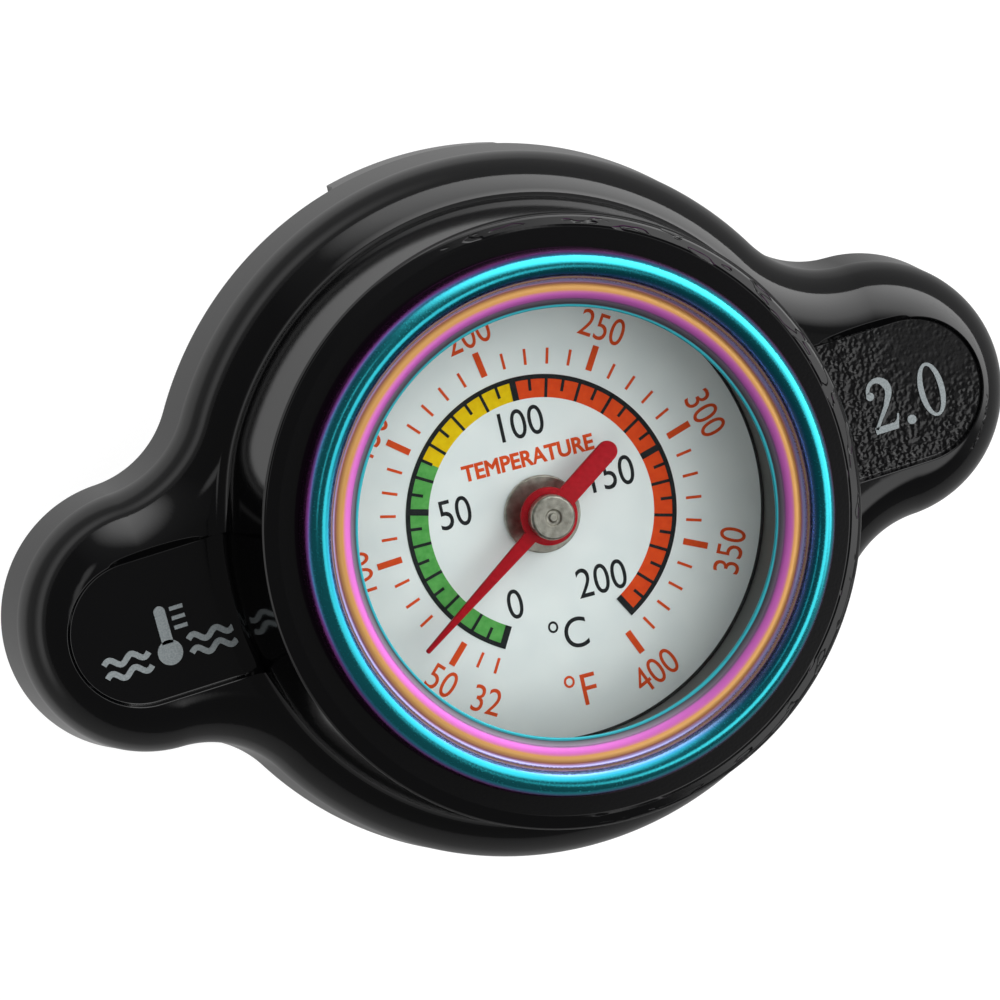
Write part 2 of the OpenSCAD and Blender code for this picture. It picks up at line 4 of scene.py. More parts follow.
import bmesh
import bpy
import numpy as np
from mathutils import Matrix, Vector
from mathutils.geometry import delaunay_2d_cdt


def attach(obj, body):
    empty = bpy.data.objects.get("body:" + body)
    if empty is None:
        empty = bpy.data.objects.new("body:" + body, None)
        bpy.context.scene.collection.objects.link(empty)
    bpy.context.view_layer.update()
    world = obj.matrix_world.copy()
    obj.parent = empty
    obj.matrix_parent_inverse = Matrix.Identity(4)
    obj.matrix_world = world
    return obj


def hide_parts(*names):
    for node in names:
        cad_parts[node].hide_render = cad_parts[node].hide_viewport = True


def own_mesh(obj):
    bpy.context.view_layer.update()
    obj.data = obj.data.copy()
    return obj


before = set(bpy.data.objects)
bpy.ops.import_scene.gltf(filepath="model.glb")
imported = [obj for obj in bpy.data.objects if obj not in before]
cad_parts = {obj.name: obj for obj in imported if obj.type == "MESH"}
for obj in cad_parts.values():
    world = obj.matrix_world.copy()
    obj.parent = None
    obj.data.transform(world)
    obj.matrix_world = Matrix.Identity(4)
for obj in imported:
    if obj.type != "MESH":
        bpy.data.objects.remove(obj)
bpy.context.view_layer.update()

# Cap casting
# The die-cast aluminium cap: a round base with two ears, the collar of the gauge and two bayonet claws.
# It leaves the mould in one piece, is bored on a lathe and gets a thick coat of gloss black enamel.
MM = 0.001
base_r = 25.9
base_top = 7.2
rim_z = -2.8
rim_edge = 0.5
wall_draft = 0.3
shoulder_w = 4.4
shoulder_h = 5.5
crown_inset = 2.0
ear_reach = 38.0
ear_r = 9.8
ear_fillet_r = 7.5
pocket_r = 5.2
pocket_x = ear_reach - 3.0 - pocket_r
pocket_start = 20.0
pocket_floor = 6.5
pocket_slope = 0.06
pocket_lip = 0.1
pocket_fillet = 0.1
pocket_dish = 0.38
dish_start = 23.8
collar_r = 22.0
collar_top = 16.4
collar_draft = 0.6
collar_edge_r = 21.85
collar_edge_z = 16.12
collar_facet_r = 20.95
collar_round = 0.25
bezel_seat_z = 13.15
cove_r = 1.4
bezel_bore_r = 18.25
cup_r = 16.9
skirt_bore_r = 22.2
ceiling_z = 2.0
claw_half = 6.4
claw_z = -5.7
claw_lip_r = 19.5
claw_lip_top = claw_z + 1.6
claw_flare = 1.8
claw_face_r = base_r - 0.1
claw_flare_z = rim_z + rim_edge + 0.4
claw_turn = math.radians(-2.2)
claw_edge = 0.25
claw_steps = 25
turn_steps = 240

ear_x = ear_reach - ear_r
reach_to_fillet = base_r + ear_fillet_r
fillet_x = (reach_to_fillet**2 - (ear_r + ear_fillet_r) ** 2 + ear_x**2) / (2 * ear_x)
fillet_y = math.sqrt(reach_to_fillet**2 - fillet_x**2)
base_turn = math.atan2(fillet_y, fillet_x)
ear_turn = math.atan2(fillet_y, fillet_x - ear_x)
shoulder_z = base_top - shoulder_h


class Casting:
    """Faces that share corners where their points meet, each with the true normals of its surface."""

    def __init__(self):
        self.places, self.points, self.faces, self.normals = {}, [], [], []

    def corner(self, point):
        key = tuple(round(float(c), 4) + 0.0 for c in point)
        if key not in self.places:
            self.places[key] = len(self.points)
            self.points.append(key)
        return self.places[key]

    def face(self, points, normals):
        corners = [self.corner(p) for p in points]
        kept = [i for i, c in enumerate(corners) if c != corners[i - 1]]
        if len(kept) < 3:
            return
        spots = np.array([self.points[corners[i]] for i in kept])
        lean = np.cross(spots, np.roll(spots, -1, axis=0)).sum(axis=0)
        if np.dot(lean, np.sum([normals[i] for i in kept], axis=0)) < 0:
            kept.reverse()
        self.faces.append([corners[i] for i in kept])
        self.normals.extend(tuple(normals[i]) for i in kept)

    def skin(self, rows, leave, meet, closed=True):
        """Quads between rows of points; leave and meet are the normals after and before each row."""
        for k in range(len(rows) - 1):
            count = len(rows[k])
            for i in range(count if closed else count - 1):
                j = (i + 1) % count
                self.face(
                    (rows[k][i], rows[k][j], rows[k + 1][j], rows[k + 1][i]),
                    (leave[k][i], leave[k][j], meet[k + 1][j], meet[k + 1][i]),
                )

    def spun(self, section, steps=turn_steps, facing=1):
        """Quads of a section turned about the axis. A facing of -1 shows its inner side."""
        ways = ring(1, steps)
        rows, meet, leave = [[np.column_stack((ways * r, np.full(steps, z))) for r, z in pairs]
                             for pairs in zip(*section)]
        self.skin(rows, [facing * n for n in leave], [facing * n for n in meet])

    def turned(self, corners, steps=turn_steps):
        """A solid of revolution from the corners of its section, given as radius, height and rounding."""
        section = rounded(corners)
        self.spun(section + section[:1], steps)

    def mesh(self, name):
        data = bpy.data.meshes.new(name)
        data.from_pydata([tuple(c * MM for c in p) for p in self.points], [], self.faces)
        data.polygons.foreach_set("use_smooth", [True] * len(data.polygons))
        data.normals_split_custom_set(self.normals)
        return data


def unit(vector):
    return vector / max(np.linalg.norm(vector), 1e-9)


def ring(radius, count=turn_steps):
    """Points evenly spaced on a circle."""
    turns = np.linspace(0, 2 * math.pi, count, endpoint=False)
    return np.column_stack((np.cos(turns), np.sin(turns))) * radius


def swung(points, turn):
    """Points of a plan, turned about its origin."""
    cosine, sine = math.cos(turn), math.sin(turn)
    return points @ np.array(((cosine, sine), (-sine, cosine)))


def rounded(corners, steps=5):
    """Points of a closed section, each with the normal before it and after it. A rounding of None marks a
    point of a smooth curve, and 0 a sharp corner."""
    made = []
    for i, (r, z, ease) in enumerate(corners):
        here = np.array((r, z))
        come = unit(here - corners[i - 1][:2])
        go = unit(np.array(corners[(i + 1) % len(corners)][:2]) - here)
        before, after = np.array((come[1], -come[0])), np.array((go[1], -go[0]))
        if ease is None:
            before = after = unit(before + after)
        if not ease:
            made.append((here, before, after))
            continue
        swing = math.atan2(come[0] * go[1] - come[1] * go[0], np.dot(come, go))
        side = math.copysign(1, swing)
        start = here - come * ease * math.tan(abs(swing) / 2)
        centre = start - side * before * ease
        for turn in np.linspace(0, swing, steps + 1):
            normal = swung(before, turn)
            made.append((centre + side * normal * ease, normal, normal))
    return made


def outline(inset):
    """The cap seen from above, that far inside its edge: points, and the way out at each."""
    arcs = (
        (ear_x, 0, ear_r - inset, -ear_turn, ear_turn, 96, 1),
        (fillet_x, fillet_y, ear_fillet_r + inset, math.atan2(-fillet_y, ear_x - fillet_x),
         math.atan2(-fillet_y, -fillet_x), 32, -1),
        (0, 0, base_r - inset, base_turn, math.pi - base_turn, 120, 1),
        (-fillet_x, fillet_y, ear_fillet_r + inset, math.atan2(-fillet_y, fillet_x),
         math.atan2(-fillet_y, fillet_x - ear_x), 32, -1),
    )
    points, ways = [], []
    for x, y, radius, start, end, steps, sign in arcs:
        turns = np.linspace(start, end, steps, endpoint=False)
        way = np.column_stack((np.cos(turns), np.sin(turns)))
        points.append(way * radius + (x, y))
        ways.append(way * sign)
    points, ways = np.vstack(points), np.vstack(ways)
    return np.vstack((points, -points)), np.vstack((ways, -ways))


def inside(x, y):
    """How far a place lies inside the cap's edge, and the way out from there."""
    u, v = abs(x), abs(y)
    if math.atan2(v, u) > base_turn:
        centre, gap = (0, 0), base_r - math.hypot(u, v)
    elif math.atan2(v, u - ear_x) < ear_turn:
        centre, gap = (ear_x, 0), ear_r - math.hypot(u - ear_x, v)
    else:
        centre, gap = (fillet_x, fillet_y), math.hypot(u - fillet_x, v - fillet_y) - ear_fillet_r
    way = unit(np.array((u - centre[0], v - centre[1]))) * (-1 if centre[1] else 1)
    return gap, np.array((math.copysign(way[0], way[0] * x), math.copysign(way[1], way[1] * y)))


def crown(x, y):
    """Height and normal of the cap's top at a place."""
    gap, way = inside(x, y)
    rest = 1 - (gap - wall_draft) / shoulder_w
    if rest <= 0:
        return base_top, np.array((0, 0, 1.0))
    height = math.sqrt(max(1 - rest**2, 1e-6))
    slope = shoulder_h / shoulder_w * rest / height
    return shoulder_z + shoulder_h * height, unit(np.array((way[0] * slope, way[1] * slope, 1)))


def within(loop, x, y):
    """Whether a place lies inside a closed loop of points."""
    heads, tails = loop, np.roll(loop, -1, axis=0)
    crossed = (heads[:, 1] > y) != (tails[:, 1] > y)
    heads, tails = heads[crossed], tails[crossed]
    at = heads[:, 0] + (y - heads[:, 1]) * (tails[:, 0] - heads[:, 0]) / (tails[:, 1] - heads[:, 1])
    return np.count_nonzero(x < at) % 2 == 1


def slot(side):
    """The outline of one ear's pocket: points, the way out at each, and how much gentler its wall is there.
    The wall towards the top of the dial is the gentle one."""
    turns = np.linspace(-math.pi / 2, math.pi / 2, 64)
    along = np.linspace(pocket_start, pocket_x, 60, endpoint=False)
    across = np.linspace(pocket_r, -pocket_r, 12, endpoint=False)[1:]
    bow = np.column_stack((np.cos(turns), np.sin(turns)))
    low = np.column_stack((along, np.full(60, -pocket_r)))
    points = np.vstack((low, bow * pocket_r + (pocket_x, 0), low[::-1] * (1, -1),
                        np.column_stack((np.full(11, pocket_start), across))))
    ways = np.vstack((np.tile((0, -1), (60, 1)), bow, np.tile((0, 1), (60, 1)), np.tile((-1, 0), (11, 1))))
    share = np.clip((points[:, 0] - dish_start) / (pocket_x + 1 - dish_start), 0, 1)
    gentle = pocket_dish * np.sqrt(4 * share * (1 - share)) * np.clip(ways[:, 1] * side, 0, 1)
    return points * side, ways * side, gentle


def fill(loops, extra, keep):
    """Triangles between loops of points seen from above, through some extra points."""
    points, edges = [], []
    for loop in loops:
        first = len(points)
        points += [Vector(p) for p in loop]
        edges += [(first + i, first + (i + 1) % len(loop)) for i in range(len(loop))]
    spots, _, faces, *_ = delaunay_2d_cdt(points + [Vector(p) for p in extra], edges, [], 0, 1e-6)
    for face in faces:
        corners = [spots[i] for i in face]
        middle = sum(corners, Vector((0, 0))) / 3
        if keep(middle.x, middle.y):
            yield corners


# The outer wall, from the rim up over the shoulder.
cap = Casting()
lower = np.linspace(math.pi / 2, 0, 6)
crown_end = math.acos(1 - (crown_inset - wall_draft) / shoulder_w)
upper = np.linspace(0, crown_end, 26)
edge = [(rim_edge * (1 - math.cos(t)), rim_z + rim_edge * (1 - math.sin(t))) for t in lower]
edge += [(wall_draft + shoulder_w * (1 - math.cos(t)), shoulder_z + shoulder_h * math.sin(t)) for t in upper]
leans = [(0, -1)]
leans += [unit(np.array((b[1] - a[1], b[0] - a[0]))) for a, b in zip(edge, edge[2:])]
leans.append(unit(np.array((math.cos(crown_end) / shoulder_w, math.sin(crown_end) / shoulder_h))))
rows, normals = [], []
for (inset, z), (out, rise) in zip(edge, leans):
    points, ways = outline(inset)
    rows.append(np.column_stack((points, np.full(len(points), z))))
    normals.append(np.column_stack((ways * out, np.full(len(points), rise))))
cap.skin(rows, normals, normals)

# The top around the pockets, and the pockets with their rounded lips and fillets.
pockets = [slot(1), slot(-1)]
pocket_edge = pocket_slope + pocket_lip
pocket_rims = [points + ways * (pocket_edge + gentle)[:, None] for points, ways, gentle in pockets]
pocket_lands = [points + ways * (pocket_edge + gentle + 0.12)[:, None] for points, ways, gentle in pockets]
extra = []
for inset in np.linspace(crown_inset, wall_draft + shoulder_w + 0.2, 14)[1:]:
    extra += [p for p in outline(inset)[0] if not any(within(rim, *p) for rim in pocket_lands)]


def on_top(x, y):
    return inside(x, y)[0] > crown_inset - 0.002 and not any(within(rim, x, y) for rim in pocket_rims)


for corners in fill([outline(crown_inset)[0]] + pocket_rims, extra, on_top):
    heights = [crown(c.x, c.y) for c in corners]
    cap.face([(c.x, c.y, h[0]) for c, h in zip(corners, heights)], [h[1] for h in heights])

for points, ways, gentle in pockets:
    rim_heights = np.array([crown(*p)[0] for p in points + ways * (pocket_edge + gentle)[:, None]])
    lean = np.arctan2(base_top - pocket_floor, 2 * pocket_slope + gentle)
    rows, normals = [], []
    for share in np.linspace(0, 1, 5):
        turn = lean * share
        reach = pocket_edge + gentle - pocket_lip * np.sin(turn)
        drop = rim_heights - pocket_lip * (1 - np.cos(turn))
        rows.append(np.column_stack((points + ways * reach[:, None], drop)))
        normals.append(np.column_stack((-ways * np.sin(turn)[:, None], np.cos(turn))))
    for share in np.linspace(1, 0, 5):
        turn = lean * share
        reach = -pocket_slope - pocket_fillet * (1 - np.sin(turn))
        rise = pocket_floor + pocket_fillet * (1 - np.cos(turn))
        rows.append(np.column_stack((points + ways * reach[:, None], rise)))
        normals.append(np.column_stack((-ways * np.sin(turn)[:, None], np.cos(turn))))
    cap.skin(rows, normals, normals)
    cap.face(list(rows[-1]), [(0, 0, 1)] * len(rows[-1]))

# The rim, the bore above it and the collar.
bore_edge = skirt_bore_r + rim_edge


def rim_kept(x, y):
    return inside(x, y)[0] > rim_edge - 0.002 and math.hypot(x, y) > bore_edge - 0.02


for corners in fill([outline(rim_edge)[0], ring(bore_edge)], [], rim_kept):
    cap.face([(c.x, c.y, rim_z) for c in corners], [(0, 0, -1)] * 3)
cap.spun(rounded([(0, ceiling_z, 0), (skirt_bore_r, ceiling_z, 0.4), (skirt_bore_r, rim_z + rim_edge, 0),
                  (bore_edge, rim_z, 0), (0, rim_z - rim_edge, 0)])[:-1], facing=-1)

collar_lean = collar_draft / (collar_top - base_top)
collar_foot_z = pocket_floor - 1
collar_foot_r = collar_r + collar_lean * (collar_top - collar_foot_z)
cap.turned([(cup_r, collar_foot_z, 0), (collar_foot_r, collar_foot_z, 0),
            (collar_r, collar_edge_z - collar_round, collar_round),
            (collar_edge_r, collar_edge_z, collar_round), (collar_facet_r, collar_top, 0.3),
            (bezel_bore_r, collar_top, 0.15), (bezel_bore_r, bezel_seat_z, 0), (cup_r, bezel_seat_z, 0)])


def cove(ray, ground):
    """The hollow curve at the collar's foot along one ray: points from the wall down to the ground, and
    normals."""
    lean = math.atan(collar_lean)
    wall = collar_r + collar_lean * (collar_edge_z - base_top - cove_r)
    middle = wall + cove_r * math.cos(lean)
    tries = np.linspace(wall + 0.05, middle, 60)
    lifts = [ground(*ray(r)) + math.sqrt(cove_r**2 - (r - middle) ** 2) for r in tries]
    best = int(np.argmax(lifts))
    high = lifts[best]
    end = math.atan2(high - ground(*ray(tries[best])), middle - tries[best])
    points, normals = [], []
    for turn in np.linspace(lean, end, 13):
        r = middle - cove_r * math.cos(turn)
        x, y = ray(r)
        points.append((x, y, high - cove_r * math.sin(turn)))
        normals.append((x / r * math.cos(turn), y / r * math.cos(turn), math.sin(turn)))
    return points, normals


def land(x, y):
    return crown(x, y)[0]


def pocket_ground(x, y):
    return pocket_floor


def level_ray(side, y, r):
    """The place at a radius on a line along one ear."""
    return side * math.sqrt(r * r - y * y), side * y


def spoke(side, turn, r):
    return side * r * math.cos(turn), side * r * math.sin(turn)


pocket_wide = pocket_r + pocket_slope
first_turn = math.asin(pocket_wide / collar_r)
for side in (1, -1):
    pocket_rays = [partial(level_ray, side, y) for y in np.linspace(-pocket_wide, pocket_wide, 41)]
    land_rays = [partial(spoke, side, t) for t in np.linspace(first_turn, math.pi - first_turn, 120)[1:-1]]
    ends = [partial(level_ray, side, pocket_wide), partial(level_ray, -side, -pocket_wide)]
    for rays, ground in ((pocket_rays, pocket_ground), (ends[:1] + land_rays + ends[1:], land)):
        rows, normals = zip(*(cove(ray, ground) for ray in rays))
        cap.skin(rows, normals, normals, closed=False)
    for ray in ends:
        high = cove(ray, land)[0]
        low = [(x, y, pocket_floor) for x, y, _ in high]
        facing = [[(0, -side, 0)] * len(high)] * 2
        cap.skin([high, low], facing, facing, closed=False)

# The claws, each a stack of plans: height, half width, outer and inner radius.
for side in (1, -1):
    stations = [(claw_z, claw_half - claw_edge, claw_face_r - claw_edge, claw_lip_r + claw_edge),
                (claw_z + claw_edge, claw_half, claw_face_r, claw_lip_r),
                (claw_lip_top, claw_half, claw_face_r, claw_lip_r),
                (claw_lip_top, claw_half, claw_face_r, skirt_bore_r)]
    for t in np.linspace(0, math.pi / 2, 9):
        half = claw_half + claw_flare * (1 - math.cos(t))
        stations.append((claw_flare_z - claw_flare * (1 - math.sin(t)), half, claw_face_r, skirt_bore_r))
    rows = []
    for z, half, outer, inner in stations:
        across = np.linspace(-half, half, claw_steps)
        front = np.column_stack((across, np.sqrt(outer**2 - across**2)))
        back = np.column_stack((across, np.sqrt(inner**2 - across**2)))[::-1]
        plan = swung(np.vstack((front, back)), claw_turn)
        rows.append(np.column_stack((plan * side, np.full(len(plan), z))))
    core = rows[5].mean(axis=0)[:2]
    for low, high in zip(rows, rows[1:]):
        for i in range(-1, len(low) - 1):
            quad = np.array((low[i], low[i + 1], high[i + 1], high[i]))
            out = unit(np.cross(quad[2] - quad[0], quad[3] - quad[1]))
            if np.dot(out, quad.mean(axis=0) - (*core, quad[:, 2].mean())) < 0:
                out = -out
            cap.face(quad, [out] * 4)
    cap.face(list(rows[0]), [(0, 0, -1)] * len(rows[0]))
    cap.face(list(rows[-1]), [(0, 0, 1)] * len(rows[-1]))


def linear(code):
    """An sRGB hex colour as the linear colour that the shaders take."""
    parts = [int(code[i : i + 2], 16) / 255 for i in (1, 3, 5)]
    return (*(p / 12.92 if p <= 0.04045 else ((p + 0.055) / 1.055) ** 2.4 for p in parts), 1.0)


def feed(tree, node, values):
    """Sets a node's inputs from numbers, or links them to sockets or to the first output of other nodes."""
    for key, value in values.items():
        if isinstance(value, bpy.types.Node):
            value = next(socket for socket in value.outputs if socket.enabled)
        if isinstance(value, bpy.types.NodeSocket):
            tree.links.new(value, node.inputs[key])
        else:
            node.inputs[key].default_value = value


def put(tree, kind, values=None, stops=None, **settings):
    """Adds a node: settings are its own fields, values its inputs, and stops the colours of a ramp."""
    made = tree.nodes.new(kind)
    for field, value in settings.items():
        setattr(made, field, value)
    feed(tree, made, values or {})
    if stops:
        ramp = made.color_ramp.elements
        ramp[0].position, ramp[0].color = stops[0]
        ramp[1].position, ramp[1].color = stops[-1]
        for place, colour in stops[1:-1]:
            ramp.new(place).color = colour
    return made


def finish(name):
    """A new material with its tree, its main shader and the place on the piece, in metres."""
    made = bpy.data.materials.new(name)
    made.use_nodes = True
    tree = made.node_tree
    return made, tree, tree.nodes["Principled BSDF"], put(tree, "ShaderNodeTexCoord").outputs["Object"]


def per_mm(size):
    """The scale of a pattern whose features are that many millimetres wide."""
    return 1 / (size * MM)


def calc(tree, operation, *values):
    return put(tree, "ShaderNodeMath", dict(enumerate(values)), operation=operation)


def vector(tree, operation, *values):
    return put(tree, "ShaderNodeVectorMath", dict(enumerate(values)), operation=operation)


def remap(tree, value, span=(0, 1), into=(0, 1), kind="LINEAR"):
    """Moves a value from one span into another, and stops at its ends."""
    ends = {1: span[0], 2: span[1], 3: into[0], 4: into[1]}
    return put(tree, "ShaderNodeMapRange", {0: value, **ends}, interpolation_type=kind)


def noise(tree, place, size, detail):
    """A cloudy pattern whose patches are that many millimetres wide."""
    return put(tree, "ShaderNodeTexNoise", {"Vector": place, "Scale": per_mm(size), "Detail": detail})


def bump(tree, height, strength, depth, under=None):
    """Relief of a depth in mm, on top of another one if that is given."""
    values = {"Height": height, "Strength": strength, "Distance": depth * MM}
    if under:
        values["Normal"] = under
    return put(tree, "ShaderNodeBump", values)


def from_axis(tree, place):
    """How far a place lies from the axis of the dial."""
    flat = vector(tree, "MULTIPLY", place, (1, 1, 0))
    return vector(tree, "LENGTH", flat)


# Sprayed enamel: deep black with a wet gloss and a fine sandy skin from the casting. The metal is pitted
# under it in the right pocket and on the right edge of the collar, where the enamel only half fills the pits.
enamel, tree, shader, place = finish("gloss_black_enamel")
axes = put(tree, "ShaderNodeSeparateXYZ", {0: place}).outputs
pocket_middle, pocket_half = 27.6, 7.6
at_floor = calc(tree, "COMPARE", axes["Z"], pocket_floor * MM, 0.08 * MM)
along_ear = calc(tree, "COMPARE", axes["X"], pocket_middle * MM, pocket_half * MM)
across_ear = calc(tree, "COMPARE", axes["Y"], 0.0, 5.5 * MM)
right_pocket = calc(tree, "MULTIPLY", along_ear, across_ear)
in_pocket_floor = calc(tree, "MULTIPLY", at_floor, right_pocket)
smooth_spot = (32.5 * MM, 3.5 * MM, pocket_floor * MM)
from_smooth = vector(tree, "DISTANCE", place, smooth_spot)
rougher = remap(tree, from_smooth, (3.0 * MM, 9.0 * MM), (0.06, 1.0))
cells = put(tree, "ShaderNodeTexVoronoi", {"Vector": place, "Scale": per_mm(0.34)}, feature="SMOOTH_F1")
shallow = noise(tree, place, 0.9, 2)
cell_depth = remap(tree, cells, (0.1, 0.55), kind="SMOOTHSTEP")
spread_out = remap(tree, shallow, (0.35, 0.65), (0.3, 1.0))
pocket_relief = cell_depth
for share in (spread_out, in_pocket_floor, rougher):
    pocket_relief = calc(tree, "MULTIPLY", pocket_relief, share)

angle = calc(tree, "ARCTAN2", axes["Y"], axes["X"])
arc_way = calc(tree, "MULTIPLY", angle, collar_r * MM * 0.22)
around_rim = put(tree, "ShaderNodeCombineXYZ", {"X": arc_way, "Y": from_axis(tree, place)})
flow = noise(tree, around_rim, 0.5, 1)
flow_depth = remap(tree, flow, (0.36, 0.43), kind="SMOOTHSTEP")
on_edge = remap(tree, axes["Z"], ((collar_edge_z - 0.02) * MM, (collar_edge_z + 0.06) * MM))
off_top = remap(tree, axes["Z"], ((collar_top - 0.06) * MM, (collar_top - 0.01) * MM), (1.0, 0.0))
right_rim = remap(tree, axes["X"], (-6 * MM, 6 * MM))
rim_relief = flow_depth
for share in (on_edge, off_top, right_rim):
    rim_relief = calc(tree, "MULTIPLY", rim_relief, share)
sand = noise(tree, place, 0.2, 2)
relief = bump(tree, sand, 0.02, 0.05)
for height, depth in ((pocket_relief, 0.08), (rim_relief, 0.12)):
    relief = bump(tree, height, 0.9, depth, relief)
gloss = remap(tree, in_pocket_floor, into=(0.08, 0.14))
feed(tree, shader, {"Base Color": linear("#040405"), "IOR": 1.5, "Roughness": gloss, "Normal": relief})


def seat(piece, body, slot_name, *nodes):
    """Lets a finished piece ride on a body and stand for the named nodes. The slot name is not used."""
    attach(piece, body)
    if nodes:
        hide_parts(*nodes)
    return piece


def show(name, data):
    """A new object in the scene, at the origin."""
    made = bpy.data.objects.new(name, data)
    bpy.context.scene.collection.objects.link(made)
    return made


def piece(name, data, material):
    """An object from a mesh, with its material."""
    data.materials.clear()
    data.materials.append(material)
    return show(name, data)


seat(piece("cap_casting", cap.mesh("cap_casting"), enamel), "cap", "black_enamel", "cap_body")

# Marks on the ears
# Raised figures that are cast with the pocket floors and rubbed back to silver paint: a pressure figure on
# the right, and on the left a plain sign for warm water, a thermometer between waves.
mark_lift = 0.12


def mottled(name, size, detail, dark, light, span=(0.3, 0.7)):
    """A finish whose colour wavers between two in patches of a size in mm. It comes with that pattern."""
    made, tree, shader, place = finish(name)
    pattern = noise(tree, place, size, detail)
    stops = [(spot, linear(code)) for spot, code in zip(span, (dark, light))]
    shade = put(tree, "ShaderNodeValToRGB", {0: pattern}, stops=stops)
    feed(tree, shader, {"Base Color": shade})
    return made, tree, shader, place, pattern


# Silver paint: grey flakes in a clear binder, half metallic and a little grainy.
silver_paint, tree, shader, place, flakes = mottled("silver_paint", 0.12, 4, "#7C8486", "#9CA3A5")
rub = bump(tree, flakes, 0.3, 0.03)
feed(tree, shader, {"Metallic": 0.35, "Roughness": 0.42, "Normal": rub})


def brush(points, widths):
    """The outline of a stroke along some points, with its width at each."""
    points = np.array(points, float)
    ways = np.gradient(points, axis=0)
    sides = np.array([unit(np.array((-w[1], w[0]))) for w in ways])
    half = np.array(widths, float)[:, None] / 2
    return points + sides * half, points - sides * half


def thicken(form, height):
    """Stands flat faces up to a height in mm."""
    made = bmesh.ops.extrude_face_region(form, geom=form.faces[:])["geom"]
    top = [part for part in made if isinstance(part, bmesh.types.BMVert)]
    bmesh.ops.translate(form, verts=top, vec=(0, 0, height * MM))
    bmesh.ops.recalc_face_normals(form, faces=form.faces)


def baked(form, name):
    """The mesh of a finished form."""
    data = bpy.data.meshes.new(name)
    form.to_mesh(data)
    form.free()
    return data


def raised(name, shapes, material, z, lift, centre=(0, 0), bevel=0):
    """Flat shapes, each between two matching edges, stood up from a floor."""
    form = bmesh.new()
    for shape in shapes:
        near, far = [[form.verts.new(((x + centre[0]) * MM, (y + centre[1]) * MM, z * MM)) for x, y in side]
                     for side in shape]
        for i in range(len(near) - 1):
            form.faces.new((near[i], far[i], far[i + 1], near[i + 1]))
    bmesh.ops.remove_doubles(form, verts=form.verts, dist=0.002 * MM)
    bmesh.ops.recalc_face_normals(form, faces=form.faces)
    if sum(f.normal.z for f in form.faces) < 0:
        bmesh.ops.reverse_faces(form, faces=form.faces)
    thicken(form, lift)
    level = (z + lift - 0.01) * MM
    rim = [e for e in form.edges if min(v.co.z for v in e.verts) > level and e.calc_face_angle(0) > 1]
    if bevel:
        bmesh.ops.bevel(form, geom=rim, offset=bevel * MM, segments=2, affect="EDGES", profile=0.5)
    return piece(name, baked(form, name), material)


def bow(cx, cy, rx, ry, start, end, steps=24):
    """Points along part of an ellipse, between two angles in degrees."""
    turns = np.radians(np.linspace(start, end, steps + 1))
    return np.column_stack((cx + rx * np.cos(turns), cy + ry * np.sin(turns)))


figure_h = 4.0
figure_x, figure_y = 29.05, -0.4
nought = (bow(2.1, 0, 0.98, figure_h / 2, 0, 360, 48), bow(2.1, 0, 0.56, figure_h / 2 - 0.22, 0, 360, 48))
point = (bow(0.1, -1.68, 0.34, 0.34, 90, 270), bow(0.1, -1.68, 0.34, 0.34, 90, -90))
crook = np.vstack((bow(-1.85, 0.95, 0.78, 0.88, 175, -8, 20),
                   [(-1.18, 0.5), (-1.55, -0.2), (-2.15, -1.0), (-2.62, -1.66)]))
crook_w = np.concatenate((np.linspace(0.26, 0.3, 8), np.linspace(0.34, 0.56, 8), np.linspace(0.58, 0.5, 5),
                          (0.46, 0.34, 0.26, 0.22)))
blob = (bow(-2.5, 0.82, 0.3, 0.3, 90, 270), bow(-2.5, 0.82, 0.3, 0.3, 90, -90))
foot = (((-2.74, -1.5), (-1.2, -1.5), (-0.98, -1.3), (-0.86, -0.92)),
        ((-2.74, -2.0), (-1.5, -2.0), (-1.02, -2.0), (-0.72, -0.96)))
seat(raised("pressure_figure", (nought, point, brush(crook, crook_w), blob, foot), silver_paint, pocket_floor,
            mark_lift, (figure_x, figure_y)), "cap", "black_enamel")

sign_x, sign_y = -28.1, -0.75
ripple_x = np.linspace(0, 3.4, 33)
ripple = np.column_stack((ripple_x, 0.26 * np.sin(ripple_x / 3.4 * 4 * math.pi)))
sign = []
for start, low in ((-4.9, -1.75), (1.5, -1.75), (-4.9, -0.75), (1.5, -0.75)):
    sign.append(brush(ripple + (start, low), np.full(33, 0.42)))
sign.append((bow(0, -1.25, 0.92, 0.92, 90, 270), bow(0, -1.25, 0.92, 0.92, 90, -90)))
stem = np.vstack(((-0.42, -0.6), (-0.42, 1.75), bow(0, 1.75, 0.42, 0.42, 180, 90, 8)))
sign.append((stem, stem * (-1, 1)))
for low in (0.35, 1.05, 1.75):
    sign.append([[(x, low - 0.14), (x, low + 0.14)] for x in (0.75, 1.75)])
seat(raised("warm_water_sign", sign, silver_paint, pocket_floor, mark_lift, (sign_x, sign_y)),
     "cap", "black_enamel")

# Bezel
# A turned aluminium ring that screws into the collar and clamps the window. Two rounded beads stand on it,
# and its thin-film coating runs through violet, teal, gold and magenta from the outside inwards.
bezel_r = 19.5
bezel_h = 2.5
bezel_wall_h = 0.85
bezel_valley_r = 17.3
inner_bead_r = 15.8
inner_bead_h = 1.2
bead_foot_r = 15.55
window_r = 15.3
lip_z = 16.7
lip_top = 17.0
bezel_thread_r = 18.2
bezel_thread_bore = 17.1
bezel_low = 13.2
film_start, film_end = 15.2, 19.6

